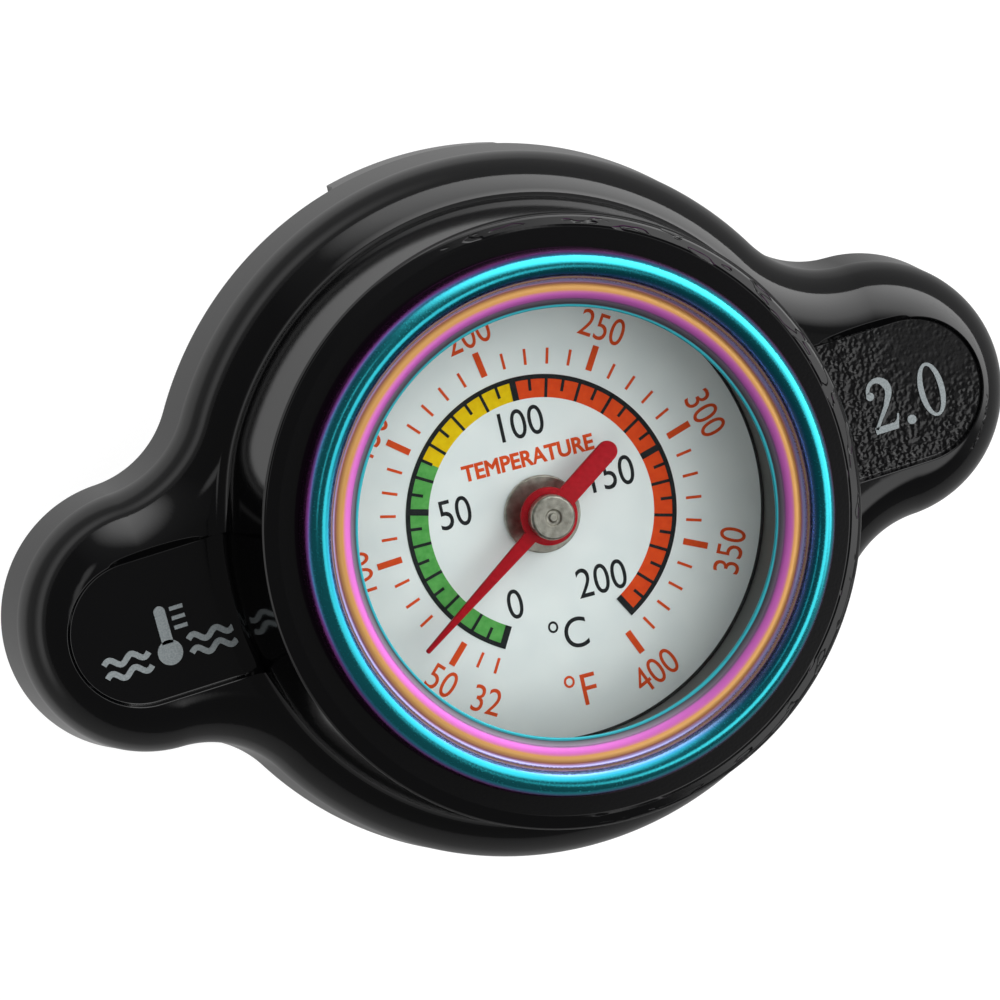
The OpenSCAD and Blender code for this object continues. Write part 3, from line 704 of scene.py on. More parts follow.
rainbow, tree, shader, place = finish("thin_film_coated_aluminium")
radius = from_axis(tree, place)
drift = noise(tree, place, 9, 1)
shift = remap(tree, drift, (0.3, 0.7), (-0.05 * MM, 0.05 * MM))
film = calc(tree, "ADD", radius, shift)
bands = ((15.3, "#2FB0BC"), (15.46, "#2A98A6"), (15.52, "#3C3C44"), (15.75, "#6A6670"), (15.9, "#8A6A8C"),
         (15.98, "#C060B4"), (16.3, "#CC66BC"), (16.45, "#D07AA0"), (16.56, "#DC9E5C"), (16.75, "#E4AE66"),
         (16.95, "#D09450"), (17.08, "#B07468"), (17.18, "#8E78A4"), (17.3, "#A0A6DC"), (17.7, "#7FA6DC"),
         (17.85, "#3C8CB8"), (18.0, "#2592A4"), (18.5, "#36BAC6"), (19.0, "#38B8C8"), (19.18, "#4A84B4"),
         (19.3, "#8C52AC"), (19.42, "#B04CAC"), (19.5, "#A848A4"))
along_film = remap(tree, film, (film_start * MM, film_end * MM))
colour = put(tree, "ShaderNodeValToRGB", {0: along_film},
             stops=[((r - film_start) / (film_end - film_start), linear(code)) for r, code in bands])
valley = (17.2 * MM, 17.4 * MM)
bare = remap(tree, radius, valley, (0.45, 1.0))
specks = noise(tree, place, 0.14, 3)
worn = remap(tree, specks, (0.35, 0.7), (0.0, 0.12))
satin = remap(tree, radius, valley, (0.38, 0.16))
dulled = calc(tree, "ADD", satin, worn)
scuffs = bump(tree, specks, 0.16, 0.03)
feed(tree, shader, {"Base Color": colour, "Metallic": bare, "Roughness": dulled, "Normal": scuffs})


def curve(cx, cz, rx, rz, start, end, steps):
    """Points along an ellipse in a section: a smooth curve with a sharp end."""
    turns = np.radians(np.linspace(start, end, steps + 1))
    made = [(cx + rx * math.cos(t), cz + rz * math.sin(t), None) for t in turns]
    made[-1] = (*made[-1][:2], 0)
    return made


def lathe(name, corners, material, body, slot_name, node, steps=turn_steps):
    """A turned piece that stands for one node."""
    form = Casting()
    form.turned(corners, steps)
    return seat(piece(name, form.mesh(name), material), body, slot_name, node)


bead_r = (bezel_r - bezel_valley_r) / 2
hollow_r = (bezel_valley_r - inner_bead_r) / 2
bezel_section = [(bezel_thread_bore, bezel_low, 0.1), (bezel_thread_r, bezel_low, 0.1),
                 (bezel_thread_r, collar_top, 0), (bezel_r, collar_top, 0.12)]
bezel_section += curve(bezel_r - bead_r, collar_top + bezel_wall_h, bead_r, bezel_h - bezel_wall_h, 0, 165, 33)
bezel_section += curve(inner_bead_r + hollow_r, lip_top, hollow_r, collar_top + inner_bead_h - lip_top,
                       40, 155, 24)
bezel_section += [(bead_foot_r, lip_top, 0.05), (window_r, lip_top, 0.1), (window_r, lip_z, 0.05),
                  (bezel_thread_bore, lip_z, 0)]
lathe("bezel", bezel_section, rainbow, "cap", "rainbow_coated_aluminium", "bezel_ring", 288)

# Window and its gasket
# A flat disc of clear mineral glass with polished faces: it lets nearly all light through and mirrors a
# little. A soft ring under the bezel's lip holds it down.
window_glass = bpy.data.materials.new("clear_window_glass")
window_glass.use_nodes = True
tree = window_glass.node_tree
tree.nodes.clear()
place = put(tree, "ShaderNodeTexCoord").outputs["Object"]
wipe = noise(tree, place, 4, 4)
haze = remap(tree, wipe, (0.3, 0.8), (0.0, 0.03))
through = put(tree, "ShaderNodeBsdfTransparent", {"Color": (0.97, 0.985, 0.98, 1)})
mirror = put(tree, "ShaderNodeBsdfGlossy", {"Roughness": haze})
share = put(tree, "ShaderNodeFresnel", {"IOR": 1.15})
glass = put(tree, "ShaderNodeMixShader", {0: share, 1: through, 2: mirror})
put(tree, "ShaderNodeOutputMaterial", {"Surface": glass})


def dress(node, material):
    """Gives a node that keeps its own shape a finished material."""
    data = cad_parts[node].data
    data.materials.clear()
    data.materials.append(material)


dress("window_lens", window_glass)

# Moulded rubber: near black, dull, with a fine grain from the mould and a little dust in it.
rubber, tree, shader, place, _ = mottled("moulded_black_rubber", 3, 3, "#131314", "#232324", (0.35, 0.75))
grain = noise(tree, place, 0.2, 5)
dull = remap(tree, grain, into=(0.55, 0.8))
skin = bump(tree, grain, 0.35, 0.04)
feed(tree, shader, {"Roughness": dull, "Normal": skin})


def flat_ring(inner, outer, low, high, *edges):
    """Corners of a flat ring's section, each with its rounding, in order from the low inner one outwards."""
    corners = ((inner, low), (outer, low), (outer, high), (inner, high))
    return [(*corner, ease) for corner, ease in zip(corners, edges)]


lathe("lens_seal", flat_ring(15.7, 17.05, 16.3, lip_z, 0.1, 0.05, 0.05, 0.1),
      rubber, "cap", "black_rubber", "lens_gasket")

# Spacer and dial gasket
# A dark grey moulded ring keeps the window off the dial, and a thin rubber ring lies between it and the dial.
dial_face = 9.7
well_r = 16.85
# Moulded acetal: even dark grey with a soft satin sheen and faint flow marks.
grey_plastic, tree, shader, place, flow = mottled("satin_grey_acetal", 1.5, 4, "#4A4A47", "#5A5A56")
satin = remap(tree, flow, into=(0.35, 0.5))
feed(tree, shader, {"Roughness": satin})
spacer_low = 10.0
lathe("spacer", flat_ring(16.45, well_r, spacer_low, 14.8, 0.08, 0.08, 0.08, 0.08),
      grey_plastic, "cap", "grey_plastic", "dial_spacer")
lathe("dial_seal", flat_ring(16.3, well_r, dial_face, spacer_low, 0.05, 0.05, 0.05, 0.1),
      rubber, "cap", "black_rubber", "dial_gasket")

# Dial plate
# A stamped aluminium disc with satin white lacquer. Its scales are screen printed in five colours: Celsius
# inside on a coloured band, Fahrenheit outside in orange.
dial_turn = -2.7
zero_angle = 240.0
scale_step = 1.5
ink_t = 0.02
band_in, band_out = 8.35, 10.02

# Sprayed lacquer: nearly white, dull enough to show no clear reflection, with a faint orange peel.
dial_white, tree, shader, place, _ = mottled("satin_white_lacquer", 2.5, 4, "#E6EBEC", "#EEF2F2")
spray = noise(tree, place, 0.3, 3)
skin = bump(tree, spray, 0.1, 0.02)
feed(tree, shader, {"Roughness": 0.7, "Specular IOR Level": 0.3, "Normal": skin})
lathe("dial", flat_ring(1.55, well_r, 8.9, dial_face, 0.05, 0.05, 0.05, 0.05),
      dial_white, "cap", "white_dial", "dial_plate")


def ink(name, dark, light):
    """Screen-printing ink: an even satin film whose colour wavers a little where it lies thinner."""
    made, tree, shader, place, thin = mottled(name, 0.5, 4, dark, light)
    satin = remap(tree, thin, into=(0.7, 0.85))
    feed(tree, shader, {"Roughness": satin, "Specular IOR Level": 0.2})
    return made


black_ink = ink("black_screen_ink", "#1C1E20", "#282A2C")
orange_ink = ink("orange_screen_ink", "#D8481C", "#E25426")
green_ink = ink("green_screen_ink", "#4E9E4A", "#62AE5A")
yellow_ink = ink("yellow_screen_ink", "#E3BA00", "#EFCB0C")
red_ink = ink("red_screen_ink", "#DC441A", "#E6501F")


def celsius(temperature):
    """The dial angle of a temperature, in degrees from the right."""
    return zero_angle - scale_step * temperature + dial_turn


def fahrenheit(temperature):
    """The dial angle of a temperature on the outer scale."""
    return celsius((temperature - 32) / 1.8)


def printed(name, shapes, material, z=dial_face):
    return seat(raised(name, shapes, material, z, ink_t), "cap", "white_dial")


def band(start, end, low, high):
    steps = max(2, int(abs(end - start) / 2))
    return [bow(0, 0, radius, radius, start, end, steps) for radius in (low, high)]


for name, low, high, material in (("cold_band", 0, 65, green_ink), ("warm_band", 65, 100, yellow_ink),
                                  ("hot_band", 100, 200, red_ink)):
    printed(name, [band(celsius(low), celsius(high), band_in, band_out)], material)
printed("band_line", [band(celsius(0) + 1.2, celsius(200) - 1.2, band_out - 0.33, band_out)], black_ink,
        dial_face + ink_t)

# The scale marks are one small bar laid out around the dial: first angle, step and count, and the size of
# a bar from its inner end outwards.
marks = bpy.data.node_groups.new("scale_marks", "GeometryNodeTree")


def take(tree, **kinds):
    """Gives a node tree its geometry in and out, and one input for each name, with the kind of its socket."""
    for name, kind in {"Geometry": "Geometry", **kinds}.items():
        tree.interface.new_socket(name, in_out="INPUT", socket_type="NodeSocket" + kind)
    tree.interface.new_socket("Geometry", in_out="OUTPUT", socket_type="NodeSocketGeometry")


take(marks, First="Float", Step="Float", Count="Int", Inner="Float", Length="Float", Width="Float",
     Thickness="Float", Height="Float", Ink="Material")
given = put(marks, "NodeGroupInput").outputs
index = put(marks, "GeometryNodeInputIndex")
stepped = calc(marks, "MULTIPLY_ADD", index, given["Step"], given["First"])
turn = calc(marks, "RADIANS", stepped)
middle = calc(marks, "MULTIPLY_ADD", given["Length"], 0.5, given["Inner"])
lift = calc(marks, "MULTIPLY_ADD", given["Thickness"], 0.5, given["Height"])
reach = put(marks, "ShaderNodeCombineXYZ", {"X": middle, "Z": lift})
spot = put(marks, "ShaderNodeVectorRotate", {"Vector": reach, "Angle": turn}, rotation_type="Z_AXIS")
points = put(marks, "GeometryNodePoints", {"Count": given["Count"], "Position": spot})
size = put(marks, "ShaderNodeCombineXYZ", {"X": given["Length"], "Y": given["Width"], "Z": given["Thickness"]})
bar = put(marks, "GeometryNodeMeshCube", {"Size": size})
aim = put(marks, "ShaderNodeCombineXYZ", {"Z": turn})
laid = put(marks, "GeometryNodeInstanceOnPoints", {"Points": points, "Instance": bar, "Rotation": aim})
real = put(marks, "GeometryNodeRealizeInstances", {0: laid})
inked = put(marks, "GeometryNodeSetMaterial", {"Geometry": real, "Material": given["Ink"]})
put(marks, "NodeGroupOutput", {0: inked})


def grown(name, tree, values, material):
    """Runs a node tree with these values and keeps the result as a plain mesh."""
    seed = show(name + "_seed", bpy.data.meshes.new(name + "_seed"))
    modifier = seed.modifiers.new("make", "NODES")
    modifier.node_group = tree
    for item in tree.interface.items_tree:
        if item.in_out == "INPUT" and item.name in values:
            modifier[item.identifier] = values[item.name]
    data = bpy.data.meshes.new_from_object(seed.evaluated_get(bpy.context.evaluated_depsgraph_get()))
    bpy.data.objects.remove(seed)
    data.name = name
    return piece(name, data, material)


def ticks(name, first, step, count, inner, length, width, material, layer):
    made = grown(name, marks, {
        "First": first, "Step": step, "Count": count, "Inner": inner * MM, "Length": length * MM,
        "Width": width * MM, "Thickness": ink_t * MM, "Height": (dial_face + layer * ink_t) * MM,
        "Ink": material}, material)
    return seat(made, "cap", "white_dial")


band_w = band_out - band_in
bold_w = 0.46
outer_in = 10.75
outer_step = scale_step / 1.8
ticks("celsius_fives", celsius(5), -10 * scale_step, 20, band_out - 1.15, 0.9, 0.22, black_ink, 1)
ticks("celsius_tens", celsius(0), -10 * scale_step, 21, band_in, band_w, 0.22, black_ink, 1)
ticks("celsius_fifties", celsius(0), -50 * scale_step, 5, band_in, band_w, bold_w, black_ink, 2)
ticks("fahrenheit_tens", fahrenheit(40), -10 * outer_step, 37, outer_in, 1.15, 0.2, orange_ink, 0)
ticks("fahrenheit_start", fahrenheit(32), 0.0, 1, outer_in, 1.15, 0.2, orange_ink, 0)
ticks("fahrenheit_fifties", fahrenheit(50), -50 * outer_step, 8, outer_in, 1.85, bold_w, orange_ink, 1)


def bolder(flat, weight):
    """Moves the edges of flat letters outwards."""
    form = bmesh.new()
    form.from_mesh(flat)
    bmesh.ops.remove_doubles(form, verts=form.verts, dist=0.001 * MM)
    pushes = {}
    for rim in (e for e in form.edges if e.is_boundary):
        ends = [v.co for v in rim.verts]
        way = (ends[1] - ends[0]).cross(Vector((0, 0, 1))).normalized()
        if way.dot((ends[0] + ends[1]) / 2 - rim.link_faces[0].calc_center_median()) < 0:
            way.negate()
        for vert in rim.verts:
            pushes.setdefault(vert, []).append(way)
    for vert, ways in pushes.items():
        push = sum(ways, Vector()).normalized()
        vert.co += push * weight / max(push.dot(ways[0]), 0.5)
    form.to_mesh(flat)
    form.free()


def lettering(name, words, material):
    """Printed figures: each is its text, middle and height in mm, turn in degrees, width share and weight."""
    form = bmesh.new()
    for text, x, y, height, turn, wide, weight in words:
        font = bpy.data.curves.new(name, "FONT")
        font.body = text
        font.resolution_u = 6
        holder = show(name + "_text", font)
        flat = bpy.data.meshes.new_from_object(holder.evaluated_get(bpy.context.evaluated_depsgraph_get()))
        bpy.data.objects.remove(holder)
        spots = np.array([v.co for v in flat.vertices])
        low, high = spots.min(axis=0), spots.max(axis=0)
        scale = height / (high[1] - low[1])
        spot = Matrix.Translation((x * MM, y * MM, dial_face * MM))
        sized = Matrix.Diagonal((scale * wide * MM, scale * MM, MM, 1))
        centred = Matrix.Translation((-(low[0] + high[0]) / 2, -(low[1] + high[1]) / 2, 0))
        flat.transform(spot @ Matrix.Rotation(math.radians(turn), 4, "Z") @ sized @ centred)
        if weight:
            bolder(flat, weight * MM)
        form.from_mesh(flat)
        bpy.data.meshes.remove(flat)
    bmesh.ops.remove_doubles(form, verts=form.verts, dist=0.001 * MM)
    for surface in form.faces:
        if surface.normal.z < 0:
            surface.normal_flip()
    thicken(form, ink_t)
    return seat(piece(name, baked(form, name), material), "cap", "white_dial")


def around(angle, radius):
    return radius * math.cos(math.radians(angle)), radius * math.sin(math.radians(angle))


inner_h, outer_h, figure_wide = 2.15, 1.95, 0.84
inner_radius = {0: 6.73, 50: 6.4, 100: 6.7, 150: 5.9, 200: 6.5}
words = [(str(t), *around(celsius(t), r), inner_h, dial_turn, figure_wide, 0.0)
         for t, r in inner_radius.items()]
words.append(("°C", *around(-90 + dial_turn, 8.9), 2.35, dial_turn, 0.88, 0.0))
lettering("celsius_figures", words, black_ink)
words = []
for t in (100, 150, 200, 250, 300):
    words.append((str(t), *around(fahrenheit(t), 14.0), outer_h, fahrenheit(t) - 90, figure_wide, 0.0))
for t, r in ((32, 13.9), (50, 13.9), (350, 14.3), (400, 14.3)):
    words.append((str(t), *around(fahrenheit(t), r), outer_h, fahrenheit(t) + 90, figure_wide, 0.0))
words.append(("°F", *around(-90 + dial_turn, 13.05), 2.4, dial_turn, 0.9, 0.0))
words.append(("TEMPERATURE", 0.1, 4.15, 1.1, dial_turn, 0.95, 0.05))
lettering("fahrenheit_figures", words, orange_ink)

# Dial bush
# A turned brass bush, nickel plated, pressed through the dial: it carries the top of the spindle.
# Nickel plate: a warm pale metal, dulled by handling. Its turning marks are drawn coarser than real ones,
# so that they show.
nickel, tree, shader, place, wear = mottled("nickel_plate", 0.5, 4, "#A29C92", "#CDC8BE")
shine = remap(tree, wear, into=(0.3, 0.46))
cuts = calc(tree, "MULTIPLY", from_axis(tree, place), 2 * math.pi * per_mm(0.14))
lines = calc(tree, "SINE", cuts)
turning = bump(tree, lines, 0.15, 0.01)
dimples = bump(tree, wear, 0.35, 0.08, turning)
feed(tree, shader, {"Metallic": 1.0, "Roughness": shine, "Normal": dimples})
bush_bore, bush_r, flange_r = 0.55, 1.5, 2.8
bush_low, bush_top = 8.5, 10.1
lathe("bush", [(bush_bore, bush_low, 0), (bush_r, bush_low, 0.05), (bush_r, dial_face, 0),
               (flange_r, dial_face, 0.05), (flange_r, bush_top, 0.12), (bush_bore, bush_top, 0.05)],
      nickel, "cap", "nickel", "dial_bush", 96)

# Pointer
# A needle stamped from thin aluminium sheet with a round hub and a tail, sprayed red.
pointer_angle = celsius(17.5)
pointer_z = 11.5
pointer_t = 0.4
# Sprayed lacquer: a deep even red with a low sheen and a fine skin.
red_lacquer, tree, shader, place, mist = mottled("red_pointer_lacquer", 0.35, 4, "#A00817", "#B61020")
skin = bump(tree, mist, 0.12, 0.03)
feed(tree, shader, {"Roughness": 0.4, "Specular IOR Level": 0.12, "Normal": skin})
hub_r = 2.1
needle_half, tip_half, needle_len = 0.58, 0.16, 13.1
tail_half, tail_len = 0.75, 7.0
needle_turn = math.degrees(math.asin(needle_half / hub_r)) - 2
tail_turn = math.degrees(math.asin(tail_half / hub_r))
tip = bow(needle_len - tip_half, 0, tip_half, tip_half, -80, 80, 10)
tail_end = bow(tail_half - tail_len, 0, tail_half, tail_half, 90, 270, 16)
hub_top = bow(0, 0, hub_r, hub_r, needle_turn, 180 - tail_turn, 40)
hub_low = bow(0, 0, hub_r, hub_r, 180 + tail_turn, 360 - needle_turn, 40)
plate = swung(np.vstack((tip, hub_top, tail_end, hub_low)), math.radians(pointer_angle))
form = bmesh.new()
form.faces.new([form.verts.new((x * MM, y * MM, pointer_z * MM)) for x, y in plate])
thicken(form, pointer_t)
edges = [e for e in form.edges if e.calc_face_angle(0) > 1.2 and abs(e.verts[0].co.z - e.verts[1].co.z) < 1e-6]
bmesh.ops.bevel(form, geom=edges, offset=0.08 * MM, segments=3, affect="EDGES", profile=0.5)
data = baked(form, "needle")
data.polygons.foreach_set("use_smooth", [True] * len(data.polygons))
data.set_sharp_from_angle(angle=math.radians(50))
seat(piece("needle", data, red_lacquer), "pointer_movement", "red_pointer", "pointer")

# Pointer cap
# A small nickel-plated rivet that is staked over the end of the spindle and holds the needle on it.
cap_top = 13.0
rivet_r, rivet_head_r, rivet_foot = 0.95, 1.62, pointer_z + pointer_t
lathe("needle_rivet", [(0, pointer_z, 0), (rivet_r, pointer_z, 0), (rivet_r, rivet_foot, 0),
                       (rivet_head_r, rivet_foot, 0.1), (rivet_head_r, cap_top, 0.22), (0.62, cap_top, 0.1),
                       (0.5, cap_top - 0.12, 0.08), (0.36, cap_top - 0.12, 0.08), (0.26, cap_top, 0.1),
                       (0, cap_top, 0)],
      nickel, "pointer_movement", "nickel", "pointer_cap", 96)

# Spindle, its guide, the bimetal coil and the probe's seal
# A stainless shaft, a brass bush, a helix of bimetal strip and a rubber ring. They work inside the probe and
# under the dial, out of sight, so they keep their plain shapes.
# Drawn stainless steel: cool grey with fine scratches along the axis.
steel, tree, shader, place = finish("drawn_stainless_steel")
stretched = put(tree, "ShaderNodeMapping", {"Vector": place, "Scale": (1, 1, 0.04)})
draw = noise(tree, stretched, 0.15, 3)
shade = put(tree, "ShaderNodeValToRGB", {0: draw}, stops=((0.3, linear("#B3B4B6")), (0.7, linear("#CDCED0"))))
shine = remap(tree, draw, into=(0.2, 0.36))
scratch = bump(tree, draw, 0.12, 0.02)
feed(tree, shader, {"Base Color": shade, "Metallic": 1.0, "Roughness": shine, "Normal": scratch})

# Turned brass: yellow, tarnished in patches, with turning marks that are drawn coarse enough to show.
brass, tree, shader, place, tarnish = mottled("turned_brass", 3, 4, "#B08A45", "#D6B167")
height = put(tree, "ShaderNodeSeparateXYZ", {0: place}).outputs["Z"]
shine = remap(tree, tarnish, into=(0.2, 0.36))
path = calc(tree, "ADD", from_axis(tree, place), height)
cuts = calc(tree, "MULTIPLY", path, 2 * math.pi * per_mm(0.16))
lines = calc(tree, "SINE", cuts)
turning = bump(tree, lines, 0.15, 0.008)
feed(tree, shader, {"Metallic": 1.0, "Roughness": shine, "Normal": turning})

# Rolled bimetal: a brownish metal with an even satin face.
bimetal, tree, shader, _, _ = mottled("rolled_bimetal_strip", 0.4, 4, "#8D7A66", "#B09A82")
feed(tree, shader, {"Metallic": 1.0, "Roughness": 0.35})
dress("spindle", steel)
dress("spindle_guide", brass)
dress("bimetal_coil", bimetal)
dress("probe_o_ring", rubber)

# Probe
# A drawn stainless tube with a head under the dial. Its foot is closed by a domed plug that is welded in.
probe_low = -27.4
stem_low = -19.4
tube_bore, tube_r, stem_r, head_r = 2.5, 3.0, 3.4, 5.8
head_low, head_top = 6.9, 8.1
plug_top, plug_r = -25.4, 2.45
lathe("probe", [(tube_bore, probe_low, 0), (tube_r, probe_low, 0.12), (tube_r, stem_low, 0.05),
                (stem_r, stem_low, 0.12), (stem_r, head_low, 0), (head_r, head_low, 0.1),
                (head_r, head_top, 0.1), (tube_bore, head_top, 0)],
      steel, "cap", "stainless_steel", "probe_tube", 144)
dome = [(tube_r * math.sin(t), probe_low - 1.4 * math.cos(t), None) for t in np.linspace(0, math.pi / 2, 19)]
lathe("probe_tip", [(0, plug_top, 0)] + dome + [(plug_r, probe_low, 0), (plug_r, plug_top, 0)],
      steel, "cap", "stainless_steel", "probe_plug", 144)

# Spring disc, neck gasket and spring cup
# A thin pressed diaphragm and a rubber ring that seal on the rim of the neck, and a deep-drawn cup for the
# spring. The guide nut clamps all three against the cap's ceiling.
stem_hole_r = 3.45
disc_low = 1.6
cup_in, cup_out, cup_low, cup_floor = 11.1, 11.7, -0.8, 1.0
lathe("diaphragm", flat_ring(stem_hole_r, 20.6, disc_low, ceiling_z, 0, 0.15, 0.15, 0),
      steel, "cap", "stainless_steel", "spring_disc")
lathe("rim_gasket", flat_ring(14.3, 18.8, 0, disc_low, 0.25, 0.25, 0.1, 0.1),
      rubber, "cap", "black_rubber", "neck_gasket")
lathe("drawn_cup", [(stem_hole_r, cup_floor, 0), (cup_in, cup_floor, 0.3), (cup_in, cup_low, 0.12),
                    (cup_out, cup_low, 0.12), (cup_out, disc_low, 0.5), (stem_hole_r, disc_low, 0)],
      steel, "cap", "stainless_steel", "spring_cup", 192)

# Guide nut
# A brass hexagon with a long shank: it clamps the probe, the cup and the disc to the cap, and guides the
# pressure valve.
nut_half = 6.5
nut_low = -3.0
nut_top = cup_floor
shank_r = 4.4
shank_low = -19.0
clip_low = -18.2
clip_t = 0.6
groove = 0.3
nut = Casting()
per_side = 10
chamfer_lean = 0.6
hexagon = np.radians(np.linspace(0, 360, 6 * per_side, endpoint=False))
for i, turn in enumerate(hexagon):
    following = hexagon[(i + 1) % len(hexagon)]
    facing = math.radians(60 * (i // per_side) + 30)
    columns = []
    for angle in (turn, following):
        reach = nut_half / math.cos((angle - facing + math.pi) % (2 * math.pi) - math.pi)
        chamfer = max(reach - nut_half, 0.02) * chamfer_lean
        way = np.array((math.cos(angle), math.sin(angle)))
        ease = reach - chamfer / chamfer_lean
        corners = ((stem_hole_r, nut_top), (ease, nut_top), (reach, nut_top - chamfer),
                   (reach, nut_low + chamfer), (ease, nut_low), (shank_r, nut_low))
        columns.append([(*(way * r), z) for r, z in corners])
    side = (math.cos(facing), math.sin(facing), 0)
    slant = np.array((math.cos(turn) * 0.5, math.sin(turn) * 0.5, 0.86))
    outs = ((0, 0, 1), slant, side, slant * (1, 1, -1), (0, 0, -1))
    for k, out in enumerate(outs):
        nut.face((columns[0][k], columns[1][k], columns[1][k + 1], columns[0][k + 1]), [out] * 4)
nut.turned([(stem_hole_r, shank_low, 0.15), (shank_r, shank_low, 0.3), (shank_r, clip_low, 0),
            (shank_r - groove, clip_low, 0), (shank_r - groove, clip_low + clip_t, 0),
            (shank_r, clip_low + clip_t, 0), (shank_r, nut_low + 0.3, 0), (shank_r, nut_top, 0),
            (stem_hole_r, nut_top, 0)], 120)
seat(piece("hex_guide", nut.mesh("hex_guide"), brass), "cap", "brass", "guide_nut")

# Springs
# Cold-wound stainless wire with closed, flat ends: a strong one for the pressure valve and a light one for
# the vacuum valve.
# Spring wire: bright grey with fine drawing marks.
spring_steel, tree, shader, place, draw = mottled("drawn_spring_wire", 0.3, 4, "#9FA1A4", "#BFC1C4")
shine = remap(tree, draw, into=(0.22, 0.4))
scratch = bump(tree, draw, 0.12, 0.02)
feed(tree, shader, {"Metallic": 1.0, "Roughness": shine, "Normal": scratch})

# A coil rises gently over half a turn at each end, and evenly between.
coil = bpy.data.node_groups.new("coil_spring", "GeometryNodeTree")
take(coil, Radius="Float", Wire="Float", Low="Float", High="Float", Turns="Float", Rise="Float", Steps="Int",
     Metal="Material")
given = put(coil, "NodeGroupInput").outputs
line = put(coil, "GeometryNodeCurvePrimitiveLine")
path = put(coil, "GeometryNodeResampleCurve", {"Curve": line, "Count": given["Steps"]})
along = put(coil, "GeometryNodeSplineParameter").outputs["Factor"]
turns = calc(coil, "MULTIPLY", along, given["Turns"])
angle = calc(coil, "MULTIPLY", turns, 2 * math.pi)
first = calc(coil, "MULTIPLY_ADD", turns, given["Rise"], given["Low"])
left = calc(coil, "SUBTRACT", given["Turns"], turns)
fall = calc(coil, "MULTIPLY", left, given["Rise"])
last = calc(coil, "SUBTRACT", given["High"], fall)
open_turns = calc(coil, "SUBTRACT", given["Turns"], 1.0)
climb = calc(coil, "SUBTRACT", given["High"], given["Low"])
free = calc(coil, "SUBTRACT", climb, given["Rise"])
pitch = calc(coil, "DIVIDE", free, open_turns)
past = calc(coil, "SUBTRACT", turns, 0.5)
start = calc(coil, "MULTIPLY_ADD", given["Rise"], 0.5, given["Low"])
main = calc(coil, "MULTIPLY_ADD", past, pitch, start)
lower_end = calc(coil, "SMOOTH_MAX", first, main, 0.1 * MM)
both_ends = calc(coil, "SMOOTH_MIN", lower_end, last, 0.1 * MM)
out = put(coil, "ShaderNodeCombineXYZ", {"X": given["Radius"], "Z": both_ends})
spot = put(coil, "ShaderNodeVectorRotate", {"Vector": out, "Angle": angle}, rotation_type="Z_AXIS")
wound = put(coil, "GeometryNodeSetPosition", {"Geometry": path, "Position": spot})
round_wire = put(coil, "GeometryNodeCurvePrimitiveCircle", {"Resolution": 14, "Radius": given["Wire"]})
swept = put(coil, "GeometryNodeCurveToMesh", {"Curve": wound, "Profile Curve": round_wire,
                                              "Fill Caps": True})
smooth = put(coil, "GeometryNodeSetShadeSmooth", {0: swept})
real = put(coil, "GeometryNodeRealizeInstances", {0: smooth})
metal = put(coil, "GeometryNodeSetMaterial", {"Geometry": real, "Material": given["Metal"]})
put(coil, "NodeGroupOutput", {0: metal})

main_spring = grown("main_spring", coil, {
    "Radius": 9.8 * MM, "Wire": 0.7 * MM, "Low": -10.45 * MM, "High": 0.25 * MM, "Turns": 4.5,
    "Rise": 1.45 * MM, "Steps": 280, "Metal": spring_steel}, spring_steel)
seat(main_spring, "cap", "spring_steel", "pressure_spring")
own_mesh(main_spring)
light_spring = grown("light_spring", coil, {
    "Radius": 6.4 * MM, "Wire": 0.25 * MM, "Low": -16.3 * MM, "High": -13.6 * MM, "Turns": 3.0,
    "Rise": 0.55 * MM, "Steps": 200, "Metal": spring_steel}, spring_steel)
seat(light_spring, "pressure_valve", "spring_steel", "vacuum_spring")
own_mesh(light_spring)

# Pressure valve
# A turned brass plate with a rim for the spring and a hub that slides on the shank. Six small vents let
# coolant back in past the vacuum valve. A pressed ring holds the rubber seal under it.
plate_low, plate_high, plate_r = -12.0, -11.2, 12.9
rim_high, rim_w = -9.8, 0.8
hub_out, hub_in, hub_high, hub_low_z = 5.2, 4.45, -10.4, -17.6
vent_r, vent_ring = 0.7, 6.8
clip_groove = -17.2
clip_gap = 1.6
plate_form = Casting()
plate_round = 0.2
vents = [ring(vent_r, 24) + around(60 * i, vent_ring) for i in range(1, 7)]


def plate_kept(outer, x, y):
    clear = min(math.dist((x, y), vent.mean(axis=0)) for vent in vents) > vent_r - 0.01
    return clear and hub_out < math.hypot(x, y) < outer


for z, outer, rise in ((plate_high, plate_r - rim_w - plate_round, 1), (plate_low, plate_r - plate_round, -1)):
    for corners in fill([ring(outer, 160), ring(hub_out, 96)] + vents, [], partial(plate_kept, outer)):
        plate_form.face([(c.x, c.y, z) for c in corners], [(0, 0, rise)] * 3)
for vent in vents:
    inward = [(*unit(vent.mean(axis=0) - p), 0) for p in vent]
    rows = [np.column_stack((vent, np.full(len(vent), z))) for z in (plate_low, plate_high)]
    plate_form.skin(rows, [inward, inward], [inward, inward])
plate_form.spun(rounded([(plate_r - 2, plate_low, 0), (plate_r, plate_low, plate_round),
                         (plate_r, rim_high, plate_round), (plate_r - rim_w, rim_high, plate_round),
                         (plate_r - rim_w, plate_high, plate_round), (plate_r - 2, plate_high, 0)])[1:-1], 160)
plate_form.turned([(hub_in, hub_low_z, 0.1), (hub_out, hub_low_z, 0.1), (hub_out, clip_groove, 0),
                   (hub_out - groove, clip_groove, 0), (hub_out - groove, clip_groove + clip_t, 0),
                   (hub_out, clip_groove + clip_t, 0), (hub_out, hub_high, 0.2), (hub_in, hub_high, 0.1)], 96)
seat(piece("valve_plate", plate_form.mesh("valve_plate"), brass), "pressure_valve", "brass", "pressure_plate")
seat_z, holder_z = -15, -14.55
